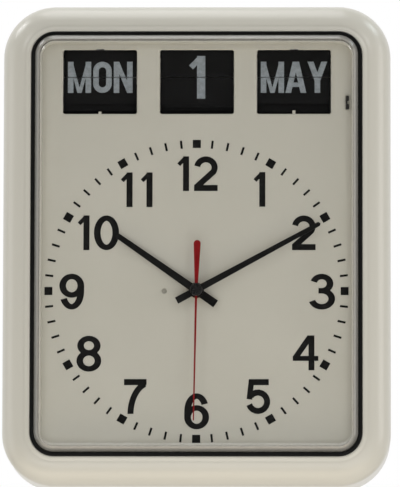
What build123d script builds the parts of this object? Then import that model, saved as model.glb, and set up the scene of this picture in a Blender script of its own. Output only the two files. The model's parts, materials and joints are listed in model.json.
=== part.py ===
from build123d import *
from math import cos, radians, sin, sqrt
import os

# Wall calendar clock, in millimetres.
# X runs to the right, Z up and Y into the wall, so the dial looks along -Y.
# The origin is the top of the hanger's keyhole slot, on the wall plane.
# A depth is a distance in front of the wall plane, so a depth of 10 is y = -10.

# Case
CASE_W = 323.5
CASE_H = 402.0
CASE_CORNER_R = 43.5
CASE_DEPTH = 84.0
CASE_EDGE_R = 22.0
CASE_WALL = 3.0
RIM_R = 1.0
HANGER_BELOW_TOP = 29.0
HANGER_TO_CENTRE = CASE_H / 2 - HANGER_BELOW_TOP
CASE_Z = -HANGER_TO_CENTRE

# Lens and its gasket
SIDE_LAND = 23.75
END_LAND = 23.5
SEAL_W = CASE_W - 2 * SIDE_LAND
SEAL_H = CASE_H - 2 * END_LAND
SEAL_R = 20.0
SEAL_T = 3.3
SEAL_PROUD = 1.6
SEAL_FLOOR = 0.8
SEAL_FLOOR_LAP = 0.4
LIP_W = 2.0
LIP_RISE = 0.8
LEDGE_W = 8.0
LEDGE_T = 2.5
LEDGE_LAP = 3.0
LENS_RISE = 11.0
LENS_WALL = 2.5
LENS_EDGE_R = 7.5
FIT = 0.1
LEDGE_FRONT = CASE_DEPTH - CASE_WALL - 0.5
LEDGE_BACK = LEDGE_FRONT - LEDGE_T
LENS_BACK = LEDGE_FRONT + SEAL_FLOOR
LENS_FRONT = CASE_DEPTH + LENS_RISE
LENS_W = SEAL_W - 2 * SEAL_T - 2 * FIT
LENS_H = SEAL_H - 2 * SEAL_T - 2 * FIT
LENS_R = SEAL_R - SEAL_T - FIT
SKIRT_T = 2.5
SKIRT_W = SEAL_W - 2 * LEDGE_W
SKIRT_H = SEAL_H - 2 * LEDGE_W
SKIRT_R = SEAL_R - LEDGE_W

# Dial
DIAL_FRONT = 70.0
DIAL_T = 1.5
DIAL_LAP = 6.5
DIAL_W = SKIRT_W + 2 * DIAL_LAP
DIAL_H = SKIRT_H + 2 * DIAL_LAP
DIAL_R = SKIRT_R + DIAL_LAP
DIAL_BACK = DIAL_FRONT - DIAL_T
WINDOW_MARGIN = 8.5
WINDOW_PITCH = (SKIRT_W - 2 * WINDOW_MARGIN) / 3
WINDOW_BAR = 19.3
WINDOW_W = WINDOW_PITCH - WINDOW_BAR
WINDOW_H = 53.9
WINDOW_R = 1.8
WINDOW_DROP = 32.5
WINDOW_Z = CASE_Z + SKIRT_H / 2 - WINDOW_DROP
WINDOW_BEVEL = 0.7
TRACK_MARGIN = 6.6
TRACK_FOOT = 7.4
TRACK_HEAD = 8.0
TRACK_ROOM = SKIRT_H - TRACK_FOOT - TRACK_HEAD - WINDOW_DROP - WINDOW_H / 2
TRACK_R = min(SKIRT_W / 2 - TRACK_MARGIN, TRACK_ROOM / 2)
ARBOR = (0.0, CASE_Z - SKIRT_H / 2 + TRACK_FOOT + TRACK_R)
SPOT_HOLE_R = 2.15
SPOT_HOLE_X = -26.9
SPOT_PIN_RECESS = 0.4
NOTCH_W = 6.7
NOTCH_H = 0.9
NIB_W = 2.5
NIB_HEIGHTS = {"day": 1.9, "month": 2.9}
INK_T = 0.12
HOUR_BLOCK = 6.8
TICK_W = 1.7
CLIP_X = SKIRT_W / 2 - 4.4
CLIP_Z = WINDOW_Z - 17.8
CLIP_W = 3.0
CLIP_H = 11.4
CLIP_LOBE_H = 4.4
CLIP_LOBE_R = 0.6
CLIP_RISE = 3.0

# Hands
HAND_T = 1.0
HAND_GAP = 3.0
HUB_R = 6.25
HOUR_DEPTH = DIAL_FRONT + 4.0
MINUTE_DEPTH = HOUR_DEPTH + HAND_T + HAND_GAP
SECOND_DEPTH = MINUTE_DEPTH + HAND_T + HAND_GAP
MINUTE_TURN = -61.5
HOUR_TURN = 55.1
SECOND_TURN = -181.1
MINUTE_LENGTH = TRACK_R - 5.9
MINUTE_TAIL = 18.6
HOUR_LENGTH = 0.66 * TRACK_R
HOUR_TAIL = 19.6
SECOND_LENGTH = TRACK_R - 14.4
SECOND_TAIL = 41.4
HOUR_TAIL_W = 6.9
HOUR_TIP_W = 4.6
MINUTE_TAIL_W = 5.9
MINUTE_TIP_W = 3.6
HAND_POINT = 1.5
NEEDLE_W = 1.9
NEEDLE_TIP_W = 1.0
NEEDLE_T = 0.8
BOB_R = 2.95
BOB_NECK_W = 2.2
CAP_R = 5.2
CAP_T = 2.4

# Chassis, screws and bosses
CHASSIS_T = 2.0
CHASSIS_W = CASE_W - 21.0
CHASSIS_H = CASE_H - 22.0
CHASSIS_R = 30.0
CHASSIS_BACK = DIAL_BACK - CHASSIS_T
CHASSIS_BOSS = (SEAL_W / 2 + 6.9, SEAL_H / 2 - 27.5)
SCREW_R = 1.5
SCREW_LENGTH = 8.0
SCREW_HEAD_R = 3.0
SCREW_HEAD_T = 2.0
SCREW_SLOT = 0.8
BOSS_WALL = 3.0
RUN = 0.08

# Rear cover, hanger and battery
COVER_RECESS = 5.5
COVER_T = 2.5
COVER_GAP = 0.3
COVER_INNER = COVER_RECESS + COVER_T
COVER_BOSS = (CASE_W / 2 - 9.0, CASE_H / 2 - 76.0)
COVER_BOSS_R = 6.5
COVER_BOSS_FRONT = 60.0
KEYHOLE_R = 4.75
KEY_SLOT_R = 2.2
KEY_DROP = 9.0
HANGER_W = 50.0
HANGER_H = 52.0
HANGER_T = 1.5
HANGER_R = 4.0
HANGER_BOSS = 6.0
HANGER_Z = -4.0
HANGER_SCREWS = (19.0, 20.0)
POCKET_W = 14.0
POCKET_H = 26.4
POCKET_DEPTH = 14.0
POCKET_WALL = 1.5
CELL_R = 17.1
CELL_LENGTH = 61.5
CELL_NUB_R = 4.75
CELL_NUB = 1.5
CELL_RISE = 61.0
CELL_Z = CASE_Z - CASE_H / 2 + CELL_RISE
CELL_GAP = 0.3
SPRING_ROOM = 4.0
CONTACT_T = 0.5
CONTACT_W = 10.0
CONTACT_H = 18.0
BAY_WALL = 1.6
BAY_LEDGE = 5.0
DOOR_T = 2.3
DOOR_GAP = 0.5
DOOR_LIP_RISE = 1.6
LIP_GRIP_W = 22.0
DOOR_RIBS = 5
DOOR_RIB_PITCH = 2.4
DOOR_PIN_R = 0.8
DOOR_PIN_OUT = 1.6
DOOR_DEPTH = COVER_RECESS + DOOR_T / 2
CELL_DEPTH = COVER_RECESS + DOOR_T + CELL_GAP + CELL_R
BAY_W = CELL_LENGTH + SPRING_ROOM
BAY_H = 2 * CELL_R + 1.2
BAY_FRONT = CELL_DEPTH + CELL_R + CELL_GAP
DOOR_W = BAY_W + 2 * BAY_LEDGE
DOOR_H = BAY_H + 2 * BAY_LEDGE
DOOR_HINGE_Z = CELL_Z - DOOR_H / 2 + DOOR_T / 2

# Flip modules, one for each window
CARD_COUNTS = {"day": 14, "date": 31, "month": 12}
MODULE_PLACES = {"day": -WINDOW_PITCH, "date": 0.0, "month": WINDOW_PITCH}
MODULES = {name: (x, CARD_COUNTS[name]) for name, x in MODULE_PLACES.items()}
SPLIT_RISE = 4.45
SPLIT_Z = WINDOW_Z + SPLIT_RISE
CARD_T = 0.3
CARD_W = WINDOW_W - 0.9
CARD_LENGTH = 22.2
CARD_SPLIT = 0.2
CARD_RECESS = 1.3
CARD_FACE = CHASSIS_BACK - CARD_RECESS
CARD_LEAN = 2.0
PIN_R = 0.3
PIN_ROOT = 1.5
PIN_FRONT = 13.9
PIN_EDGE = 1.4
AXIS_DEPTH = CARD_FACE - CARD_T / 2 - PIN_FRONT
AXLE_R = 1.6
CORE_R = 4.0
FLANGE_GAP = 0.5
FLANGE_T = 1.4
FLANGE_IN = CARD_W / 2 + FLANGE_GAP
FLANGE_OUT = FLANGE_IN + FLANGE_T
WHEEL_IN = FLANGE_OUT + 0.7
WHEEL_W = 2.4
WHEEL_OUT = WHEEL_IN + WHEEL_W
RATCHET_R = 8.4
DRUM_TEETH = 26
THUMB_TEETH = 36
THUMB_MODULE = 1.0
THUMB_REACH = THUMB_MODULE * (DRUM_TEETH + THUMB_TEETH) / 2
THUMB_DEPTH = AXIS_DEPTH - THUMB_REACH
THUMB_PIN_R = 2.0
THUMB_HOLES = 6
THUMB_HOLE_RING = 9.5
THUMB_HOLE_R = 3.0
SIDE_GAP = 0.5
SIDE_IN = WHEEL_OUT + SIDE_GAP
SIDE_T = 1.5
SIDE_TOP = 31.0
SIDE_BOTTOM = -36.0
SIDE_REAR = 14.0
SIDE_REAR_H = 27.0
SIDE_HOLE_R = 5.0
SIDE_HOLE_IN = 14.0
SIDE_HOLE_RISE = 15.0
TIE_T = 3.0
TIE_DEPTH = 2.5
PEG_R = 1.4
PEG_X = 20.0
PEG_LENGTH = 1.8
CATCH_W = NOTCH_W - 0.2
CATCH_T = 0.7
CATCH_CLEAR = 0.4
CHASSIS_WINDOW_W = 2 * FLANGE_OUT + 1.8
CHASSIS_WINDOW_H = 57.0
CHASSIS_WINDOW_R = 2.0

# Movement: wheels sit in planes that are one step apart, counted back from the base
MOVEMENT_W = 92.0
MOVEMENT_H = 98.0
MOVEMENT_R = 6.0
MOVEMENT_LIFT = -3.0
MOVEMENT_WALL = 2.0
BASE_T = 2.0
BASE_BACK = CHASSIS_BACK - BASE_T
PLANE_STEP = 3.2
CALENDAR_PLANE = BASE_BACK - 1.5
HOUR_PLANE = CALENDAR_PLANE - PLANE_STEP
MINUTE_PLANE = HOUR_PLANE - PLANE_STEP
CENTRE_PLANE = MINUTE_PLANE - PLANE_STEP
THIRD_PLANE = CENTRE_PLANE - PLANE_STEP
BRIDGE_PLANE = THIRD_PLANE - PLANE_STEP
SECOND_PLANE = BRIDGE_PLANE - PLANE_STEP
STEP_PLANE = SECOND_PLANE - PLANE_STEP
ROTOR_PLANE = STEP_PLANE - PLANE_STEP
WHEEL_T = 1.5
PINION_T = 2.4
BRIDGE_T = 1.5
BRIDGE_GAP = 2.0
BRIDGE_SIDE = 12.0
BRIDGE_FOOT = 14.0
BRIDGE_HEAD = 3.0
BRIDGE_END = 13.0
BRIDGE_LEG_R = 3.0
MAGNET_R = 4.0
MAGNET_T = 4.0
SHELL_INNER = ROTOR_PLANE - MAGNET_T / 2 - 1.0
SHELL_BACK = SHELL_INNER - MOVEMENT_WALL
PIVOT_R = 0.8
MINUTE_TUBE_R = 1.9
HOUR_TUBE_R = 3.0
BUSH_R = 4.5
BUSH_FRONT = DIAL_FRONT + 3.0
NUT_R = 6.2
NUT_T = 2.6
STUD_R = 1.5
TOOTH_RISE = 0.75
TOOTH_FALL = 1.05
TOOTH_ROOT = 0.28
TOOTH_TIP = 0.11

# Gear modules, which follow the size of the movement, and tooth counts
TRAIN_SCALE = min(MOVEMENT_W / 92.0, MOVEMENT_H / 98.0)
THIRD_MODULE = 0.54 * TRAIN_SCALE
CENTRE_MODULE = THIRD_MODULE * 85 / 90
ROTOR_MODULE = 0.45 * TRAIN_SCALE
CANNON_MODULE = 0.75 * TRAIN_SCALE
HOUR_MODULE = CANNON_MODULE * 48 / 50
CALENDAR_MODULE = 0.8 * TRAIN_SCALE
PINION_TEETH = 10
SECOND_TEETH = 50
STEP_TEETH = 60
THIRD_TEETH = 75
CENTRE_TEETH = 80
CANNON_TEETH = 12
MOTION_TEETH = 36
HOUR_TEETH = 40
DAILY_TEETH = 20
CALENDAR_TEETH = 40

# Directions from one arbor to the next, in degrees from +X
THIRD_AT = 150.0
STEP_AT = -120.0
ROTOR_AT = -150.0
MOTION_AT = -30.0
CALENDAR_AT = 90.0
DAILY_PIN_RING = 6.0
DAILY_PIN_R = 1.0
DAILY_PIN_AT = 200.0
KNOB_R = 9.0
KNOB_T = 3.6
KNOB_FLUTES = 20
KNOB_DEPTH = 1.3

# Board and motor
BOARD_W = 36.0
BOARD_H = 21.0
BOARD_T = 1.2
BOARD_SIDE_GAP = 6.0
BOARD_FOOT_GAP = 3.5
COIL_DROP = 14.0
COIL_LIFT = 3.2
COIL_R = 4.6
BOBBIN_R = 5.2
CORE_BAR_R = 1.6
STATOR_ARM = 13.0
STATOR_T = 1.8

# Advance bar, which drops at midnight and draws the ratchets round
BAR_T = 1.5
BAR_CLEAR = 0.45
BAR_BACK = AXIS_DEPTH + RATCHET_R + BAR_CLEAR
BAR_H = 10.0
BAR_Z = SPLIT_Z - 48.65
BAR_STROKE = 4.0
BAR_POST_R = 3.0
BAR_POSTS = (-60.0, 12.0)
BAR_LEG_W = 6.0
FINGER_W = 1.8
FINGER_X = -(WHEEL_IN + WHEEL_W / 2)


def slab(sketch, back, front):
    """Extrude a sketch drawn in X and Z from one depth to a greater one."""
    return extrude(Plane.XZ.offset(back) * sketch, amount=front - back, dir=(0, -1, 0))


def across(sketch, left, right):
    """Extrude a sketch drawn in Y and Z along X."""
    return extrude(Plane.YZ.offset(left) * sketch, amount=right - left, dir=(1, 0, 0))


def front_edges(solid):
    """Edges of the face that looks furthest out of the dial."""
    return solid.faces().sort_by(Axis.Y)[0].edges()


def case_panel(width, height, corner):
    """Rounded rectangle about the case's centre."""
    return Pos(0, CASE_Z) * RectangleRounded(width, height, corner)


def disc(centre, radius):
    return Pos(*centre) * Circle(radius)


def box_at(x, z, width, height):
    return Pos(x, z) * Rectangle(width, height)


def polar(origin, distance, angle):
    """Point at a distance and direction from another, in X and Z."""
    turn = radians(angle)
    return (origin[0] + distance * cos(turn), origin[1] + distance * sin(turn))


def gear_face(teeth, module, turn=0.0):
    """Spur gear outline with straight flanks, thinned so that meshed teeth run free."""
    pitch_r = teeth * module / 2
    root_r = pitch_r - TOOTH_FALL * module
    tip_r = pitch_r + TOOTH_RISE * module
    corners = ((root_r, -TOOTH_ROOT), (tip_r, -TOOTH_TIP), (tip_r, TOOTH_TIP), (root_r, TOOTH_ROOT))
    points = []
    for tooth in range(teeth):
        for radius, share in corners:
            points.append(polar((0, 0), radius, turn + (tooth + share) * 360 / teeth))
    return Polygon(*points, align=None)


def meshing_turn(turn, direction, teeth, next_teeth):
    """Turn that puts a gap of the next gear on the tooth that faces it."""
    ahead = (turn - direction) * teeth / next_teeth
    return direction + 180 - ahead + 180 / next_teeth


def spur(centre, teeth, module, plane, thickness, turn=0.0):
    face = Pos(*centre) * gear_face(teeth, module, turn)
    return slab(face, plane - thickness / 2, plane + thickness / 2)


def wheel_windows(centre, teeth, module, hub_r, plane):
    """Round holes that lighten a wheel's web."""
    root_r = teeth * module / 2 - TOOTH_FALL * module
    ring_r = (root_r + hub_r) / 2
    hole_r = (root_r - hub_r) / 2 * 0.68
    holes = Sketch()
    for spoke in range(5):
        holes += disc(polar(centre, ring_r, spoke * 72 + 36), hole_r)
    return slab(holes, plane - WHEEL_T, plane + WHEEL_T)


def bore(centre, radius, back, front):
    return slab(disc(centre, radius + RUN), back, front)


def self_tapper(x, z, seat):
    """Screw whose head seats at a depth and whose shank runs forward from it."""
    head = slab(disc((x, z), SCREW_HEAD_R), seat - SCREW_HEAD_T, seat)
    head = fillet(head.faces().sort_by(Axis.Y)[-1].edges(), 0.8)
    shank = slab(disc((x, z), SCREW_R), seat, seat + SCREW_LENGTH)
    shank = chamfer(front_edges(shank), 0.6)
    cross = box_at(x, z, 3.6, SCREW_SLOT) + box_at(x, z, SCREW_SLOT, 3.6)
    return head + shank - slab(cross, seat - SCREW_HEAD_T, seat - SCREW_HEAD_T / 2)


def boss_places(reach):
    """Both sides, at mid height and at the same distance above and below it."""
    side, rise = reach
    return [(x, CASE_Z + z) for x in (-side, side) for z in (-rise, 0, rise)]


def hanger_screw_places():
    side, rise = HANGER_SCREWS
    return [(x, HANGER_Z + z) for x in (-side, side) for z in (-rise, rise)]


# Case, seal, lens and dial

def make_case_shell():
    outside = slab(case_panel(CASE_W, CASE_H, CASE_CORNER_R), 0, CASE_DEPTH)
    outside = fillet(front_edges(outside), CASE_EDGE_R)
    outside = fillet(outside.faces().sort_by(Axis.Y)[-1].edges(), RIM_R)
    inner_w = CASE_W - 2 * CASE_WALL
    inner_h = CASE_H - 2 * CASE_WALL
    inside = slab(case_panel(inner_w, inner_h, CASE_CORNER_R - CASE_WALL), -1, CASE_DEPTH - CASE_WALL)
    inside = fillet(front_edges(inside), CASE_EDGE_R - CASE_WALL)
    ledge = case_panel(SEAL_W + 2 * LEDGE_LAP, SEAL_H + 2 * LEDGE_LAP, SEAL_R + LEDGE_LAP)
    skirt = case_panel(SKIRT_W + 2 * SKIRT_T, SKIRT_H + 2 * SKIRT_T, SKIRT_R + SKIRT_T)
    lip = case_panel(SEAL_W + 2 * LIP_W, SEAL_H + 2 * LIP_W, SEAL_R + LIP_W)
    lip = lip - case_panel(SEAL_W, SEAL_H, SEAL_R)
    rim = slab(lip, CASE_DEPTH - CASE_WALL, CASE_DEPTH + LIP_RISE)
    rim = fillet(front_edges(rim), 0.45 * LIP_W)
    shell = outside - inside
    shell += slab(ledge, LEDGE_BACK, CASE_DEPTH - 0.5)
    shell += slab(skirt, DIAL_FRONT, LEDGE_FRONT)
    for place in boss_places(COVER_BOSS):
        shell += slab(disc(place, COVER_BOSS_R), COVER_INNER, COVER_BOSS_FRONT)
    for place in boss_places(CHASSIS_BOSS):
        shell += slab(disc(place, SCREW_R + BOSS_WALL), DIAL_BACK, CASE_DEPTH - CASE_WALL + 0.5)
    shell -= slab(case_panel(SKIRT_W, SKIRT_H, SKIRT_R), DIAL_FRONT, LENS_FRONT)
    shell -= slab(case_panel(SEAL_W, SEAL_H, SEAL_R), LEDGE_FRONT, LENS_FRONT)
    shell += rim
    hole_r = SCREW_R + RUN
    for place in boss_places(COVER_BOSS):
        shell -= slab(disc(place, hole_r), 0, COVER_INNER + SCREW_LENGTH)
    for place in boss_places(CHASSIS_BOSS):
        shell -= slab(disc(place, hole_r), DIAL_BACK - 1, CHASSIS_BACK + SCREW_LENGTH + 1)
    return shell


def make_lens_gasket():
    """Rubber angle: one leg round the lens and a floor under its foot."""
    outer = case_panel(SEAL_W - 2 * FIT, SEAL_H - 2 * FIT, SEAL_R - FIT)
    inner = case_panel(SEAL_W - 2 * SEAL_T, SEAL_H - 2 * SEAL_T, SEAL_R - SEAL_T)
    seal = slab(outer - inner, LEDGE_FRONT, CASE_DEPTH + SEAL_PROUD)
    seal = fillet(front_edges(seal), 0.3 * SEAL_T)
    inset = SEAL_T + LENS_WALL + SEAL_FLOOR_LAP
    floor_inner = case_panel(SEAL_W - 2 * inset, SEAL_H - 2 * inset, SEAL_R - inset)
    return seal + slab(outer - floor_inner, LEDGE_FRONT, LENS_BACK)


def make_front_lens():
    outer = slab(case_panel(LENS_W, LENS_H, LENS_R), LENS_BACK, LENS_FRONT)
    outer = fillet(front_edges(outer), LENS_EDGE_R)
    inner_w = LENS_W - 2 * LENS_WALL
    inner_h = LENS_H - 2 * LENS_WALL
    inner = case_panel(inner_w, inner_h, LENS_R - LENS_WALL)
    hollow = slab(inner, LENS_BACK - 1, LENS_FRONT - LENS_WALL)
    hollow = fillet(front_edges(hollow), LENS_EDGE_R - LENS_WALL)
    return outer - hollow


def make_dial_plate():
    plate = slab(case_panel(DIAL_W, DIAL_H, DIAL_R), DIAL_BACK, DIAL_FRONT)
    plate -= slab(disc(ARBOR, BUSH_R + FIT), DIAL_BACK, DIAL_FRONT)
    plate -= slab(disc((SPOT_HOLE_X, ARBOR[1]), SPOT_HOLE_R), DIAL_BACK, DIAL_FRONT)
    for name, (x, cards) in MODULES.items():
        window = Pos(x, WINDOW_Z) * RectangleRounded(WINDOW_W, WINDOW_H, WINDOW_R)
        plate -= slab(window, DIAL_BACK, DIAL_FRONT)
        bevel = extrude(Plane.XZ.offset(DIAL_FRONT - WINDOW_BEVEL) * window, amount=WINDOW_BEVEL, taper=-45)
        plate -= bevel
        if name in NIB_HEIGHTS:
            notch_z = WINDOW_Z + WINDOW_H / 2
            plate -= slab(box_at(x, notch_z, NOTCH_W, 2 * NOTCH_H), DIAL_BACK, DIAL_FRONT)
            nib_h = NIB_HEIGHTS[name] + 1.0
            nib_z = WINDOW_Z - WINDOW_H / 2 + NIB_HEIGHTS[name] - nib_h / 2
            plate += slab(box_at(x, nib_z, NIB_W, nib_h), DIAL_BACK, DIAL_FRONT - WINDOW_BEVEL / 2)
    return plate


def make_dial_markings():
    """Minute track: a square at each hour and a line at each minute between."""
    marks = []
    for minute in range(60):
        width = HOUR_BLOCK if minute % 5 == 0 else TICK_W
        place = polar(ARBOR, TRACK_R, 90 - 6 * minute)
        mark = Pos(*place) * Rot(0, 0, -6 * minute) * Rectangle(width, HOUR_BLOCK)
        marks.append(slab(mark, DIAL_FRONT, DIAL_FRONT + INK_T))
    return Compound(children=marks)


def make_dial_clip():
    """Small dark catch of two lobes joined by a narrow neck on the left."""
    shape = box_at(CLIP_X - CLIP_W / 4, CLIP_Z, CLIP_W / 2, CLIP_H - CLIP_LOBE_H)
    rise = (CLIP_H - CLIP_LOBE_H) / 2
    for side in (-1, 1):
        shape += Pos(CLIP_X, CLIP_Z + side * rise) * RectangleRounded(CLIP_W, CLIP_LOBE_H, CLIP_LOBE_R)
    clip = slab(shape, DIAL_FRONT, DIAL_FRONT + CLIP_RISE)
    return fillet(front_edges(clip), CLIP_LOBE_R / 2)


def make_locating_pin():
    """Blunt pin that stands on the movement and shows in the dial's small hole."""
    front = DIAL_FRONT - SPOT_PIN_RECESS
    pin = slab(disc((SPOT_HOLE_X, ARBOR[1]), SPOT_HOLE_R - FIT), CHASSIS_BACK, front)
    return fillet(front_edges(pin), 0.3 * SPOT_HOLE_R)


# Hands

def hand_face(length, tail, tail_w, tip_w, tip_slope):
    """Tapered baton that points up from the arbor, with a short point."""
    baton = Polygon((-tail_w / 2, -tail), (tail_w / 2, -tail), (tip_w / 2, length - tip_slope),
                    (0, length), (-tip_w / 2, length - tip_slope), align=None)
    return baton + Circle(HUB_R)


def hand_solid(face, turn, depth, hole_r, thickness=HAND_T):
    plate = slab(Pos(*ARBOR) * Rot(0, 0, turn) * face, depth, depth + thickness)
    return plate - slab(disc(ARBOR, hole_r), depth, depth + thickness)


def make_hour_hand():
    face = hand_face(HOUR_LENGTH, HOUR_TAIL, HOUR_TAIL_W, HOUR_TIP_W, HAND_POINT)
    return hand_solid(face, HOUR_TURN, HOUR_DEPTH, HOUR_TUBE_R)


def make_minute_hand():
    face = hand_face(MINUTE_LENGTH, MINUTE_TAIL, MINUTE_TAIL_W, MINUTE_TIP_W, HAND_POINT)
    return hand_solid(face, MINUTE_TURN, MINUTE_DEPTH, MINUTE_TUBE_R)


def make_second_hand():
    """Thin needle with a drop-shaped counterweight on its tail."""
    wide, tip, neck = NEEDLE_W / 2, NEEDLE_TIP_W / 2, BOB_NECK_W / 2
    needle = Polygon((-wide, 0), (-tip, SECOND_LENGTH), (tip, SECOND_LENGTH), (wide, 0), align=None)
    bob_z = BOB_R - SECOND_TAIL
    bob = Polygon((-BOB_R, bob_z), (BOB_R, bob_z), (neck, 0), (-neck, 0), align=None)
    bob += disc((0, bob_z), BOB_R)
    return hand_solid(needle + bob + Circle(0.8 * CAP_R), SECOND_TURN, SECOND_DEPTH, PIVOT_R, NEEDLE_T)


def make_second_hand_cap():
    cap_back = SECOND_DEPTH + NEEDLE_T
    cap = slab(disc(ARBOR, CAP_R), cap_back, cap_back + CAP_T)
    cap = fillet(front_edges(cap), 1.0)
    return cap - slab(disc(ARBOR, PIVOT_R + RUN), cap_back, cap_back + 1.2)


# Chassis, back and battery

def make_chassis_plate():
    """Plate that carries the movement, the three modules and the advance bar."""
    plate = slab(case_panel(CHASSIS_W, CHASSIS_H, CHASSIS_R), CHASSIS_BACK, DIAL_BACK)
    plate -= slab(disc(ARBOR, BUSH_R + FIT), CHASSIS_BACK, DIAL_BACK)
    plate -= slab(disc((SPOT_HOLE_X, ARBOR[1]), SPOT_HOLE_R), CHASSIS_BACK, DIAL_BACK)
    for x, cards in MODULES.values():
        opening = Pos(x, WINDOW_Z) * RectangleRounded(CHASSIS_WINDOW_W, CHASSIS_WINDOW_H, CHASSIS_WINDOW_R)
        plate -= slab(opening, CHASSIS_BACK, DIAL_BACK)
        for peg_x, peg_z in peg_places(x):
            plate -= slab(disc((peg_x, peg_z), PEG_R + FIT), CHASSIS_BACK, DIAL_BACK)
    for place in boss_places(CHASSIS_BOSS):
        plate -= slab(disc(place, SCREW_R + RUN), CHASSIS_BACK, DIAL_BACK)
    for x in BAR_POSTS:
        plate += slab(disc((x, BAR_Z), BAR_POST_R), BAR_BACK + BAR_T + 0.3, CHASSIS_BACK)
        plate += slab(disc((x, BAR_Z), STUD_R), BAR_BACK - 1.5, CHASSIS_BACK)
    return plate


def make_case_screws():
    """Identical screws for the chassis, the rear cover and the hanger."""
    screws = [self_tapper(x, z, CHASSIS_BACK) for x, z in boss_places(CHASSIS_BOSS)]
    screws += [self_tapper(x, z, COVER_RECESS) for x, z in boss_places(COVER_BOSS)]
    screws += [self_tapper(x, z, COVER_RECESS - HANGER_T) for x, z in hanger_screw_places()]
    return Compound(children=screws)


def door_opening(gap):
    return box_at(0, CELL_Z, DOOR_W + 2 * gap, DOOR_H + 2 * gap)


def thumb_slot(x):
    """Slot in the rear cover for the part of a setting wheel that passes through it."""
    tip_r = THUMB_MODULE * (THUMB_TEETH / 2 + TOOTH_RISE)
    half = sqrt(tip_r ** 2 - (THUMB_DEPTH - COVER_INNER) ** 2)
    return box_at(x + WHEEL_IN + WHEEL_W / 2, SPLIT_Z, WHEEL_W + 2.0, 2 * half + 2.0)


def knob_place():
    motion = polar(ARBOR, CANNON_MODULE * (CANNON_TEETH + MOTION_TEETH) / 2, MOTION_AT)
    return polar(motion, CANNON_MODULE * (CANNON_TEETH + MOTION_TEETH) / 2, MOTION_AT)


def make_rear_cover():
    width = CASE_W - 2 * CASE_WALL - 2 * COVER_GAP
    height = CASE_H - 2 * CASE_WALL - 2 * COVER_GAP
    cover = slab(case_panel(width, height, CASE_CORNER_R - CASE_WALL - COVER_GAP), COVER_RECESS, COVER_INNER)
    bay = box_at(0, CELL_Z, BAY_W, BAY_H)
    bay_outer = box_at(0, CELL_Z, BAY_W + 2 * BAY_WALL, BAY_H + 2 * BAY_WALL)
    cover += slab(door_opening(DOOR_GAP + BAY_WALL), COVER_INNER, COVER_INNER + BAY_WALL)
    cover += slab(bay_outer, COVER_INNER, BAY_FRONT + BAY_WALL)
    cover -= slab(bay, COVER_INNER, BAY_FRONT)
    cover -= slab(door_opening(DOOR_GAP), COVER_RECESS, COVER_INNER)
    pin_r = DOOR_PIN_R + RUN
    pin = Pos(-DOOR_DEPTH, DOOR_HINGE_Z) * Circle(pin_r)
    reach = DOOR_W / 2 + DOOR_PIN_OUT + 0.2
    cover -= across(pin, -reach, reach)
    pocket_z = -KEY_DROP / 2
    pocket = box_at(0, pocket_z, POCKET_W, POCKET_H)
    pocket_outer = box_at(0, pocket_z, POCKET_W + 2 * POCKET_WALL, POCKET_H + 2 * POCKET_WALL)
    cover += slab(pocket_outer, COVER_INNER, POCKET_DEPTH + POCKET_WALL)
    cover -= slab(pocket, COVER_RECESS, POCKET_DEPTH)
    for place in hanger_screw_places():
        cover += slab(disc(place, SCREW_R + BOSS_WALL), COVER_INNER, COVER_INNER + HANGER_BOSS)
    for place in boss_places(COVER_BOSS) + hanger_screw_places():
        cover -= slab(disc(place, SCREW_R + RUN), COVER_RECESS, COVER_INNER + HANGER_BOSS - 1)
    for x, cards in MODULES.values():
        cover -= slab(thumb_slot(x), COVER_RECESS, COVER_INNER)
    cover -= slab(disc(knob_place(), STUD_R + 0.4), COVER_RECESS, COVER_INNER)
    return cover


def make_battery_cover():
    """Door on two pins at its lower edge, with a finger lip at the top."""
    panel = box_at(0, CELL_Z + DOOR_T / 4, DOOR_W, DOOR_H - DOOR_T / 2)
    plate = slab(panel, COVER_RECESS, COVER_RECESS + DOOR_T)
    barrel = Pos(-DOOR_DEPTH, DOOR_HINGE_Z) * Circle(DOOR_T / 2)
    door = plate + across(barrel, -DOOR_W / 2, DOOR_W / 2)
    pin = Pos(-DOOR_DEPTH, DOOR_HINGE_Z) * Circle(DOOR_PIN_R)
    reach = DOOR_W / 2 + DOOR_PIN_OUT
    door += across(pin, -reach, reach)
    grip = box_at(0, CELL_Z + DOOR_H / 2 - 2, LIP_GRIP_W, DOOR_RIB_PITCH)
    lip = slab(grip, COVER_RECESS - DOOR_LIP_RISE, COVER_RECESS)
    lip = fillet(lip.faces().sort_by(Axis.Y)[-1].edges(), 0.6)
    for rib in range(DOOR_RIBS):
        rib_z = CELL_Z + DOOR_H / 2 - 7 - DOOR_RIB_PITCH * rib
        door += slab(box_at(0, rib_z, LIP_GRIP_W - 4, 0.9), COVER_RECESS - 0.5, COVER_RECESS)
    return door + lip


def make_battery():
    """Round cell lying along X, its terminal to the right."""
    centre = Pos(-CELL_DEPTH, CELL_Z)
    left = -BAY_W / 2 + SPRING_ROOM - CONTACT_T
    can = across(centre * Circle(CELL_R), left, left + CELL_LENGTH - CELL_NUB)
    can = fillet(can.edges(), 1.0)
    return can + across(centre * Circle(CELL_NUB_R), left, left + CELL_LENGTH)


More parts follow.
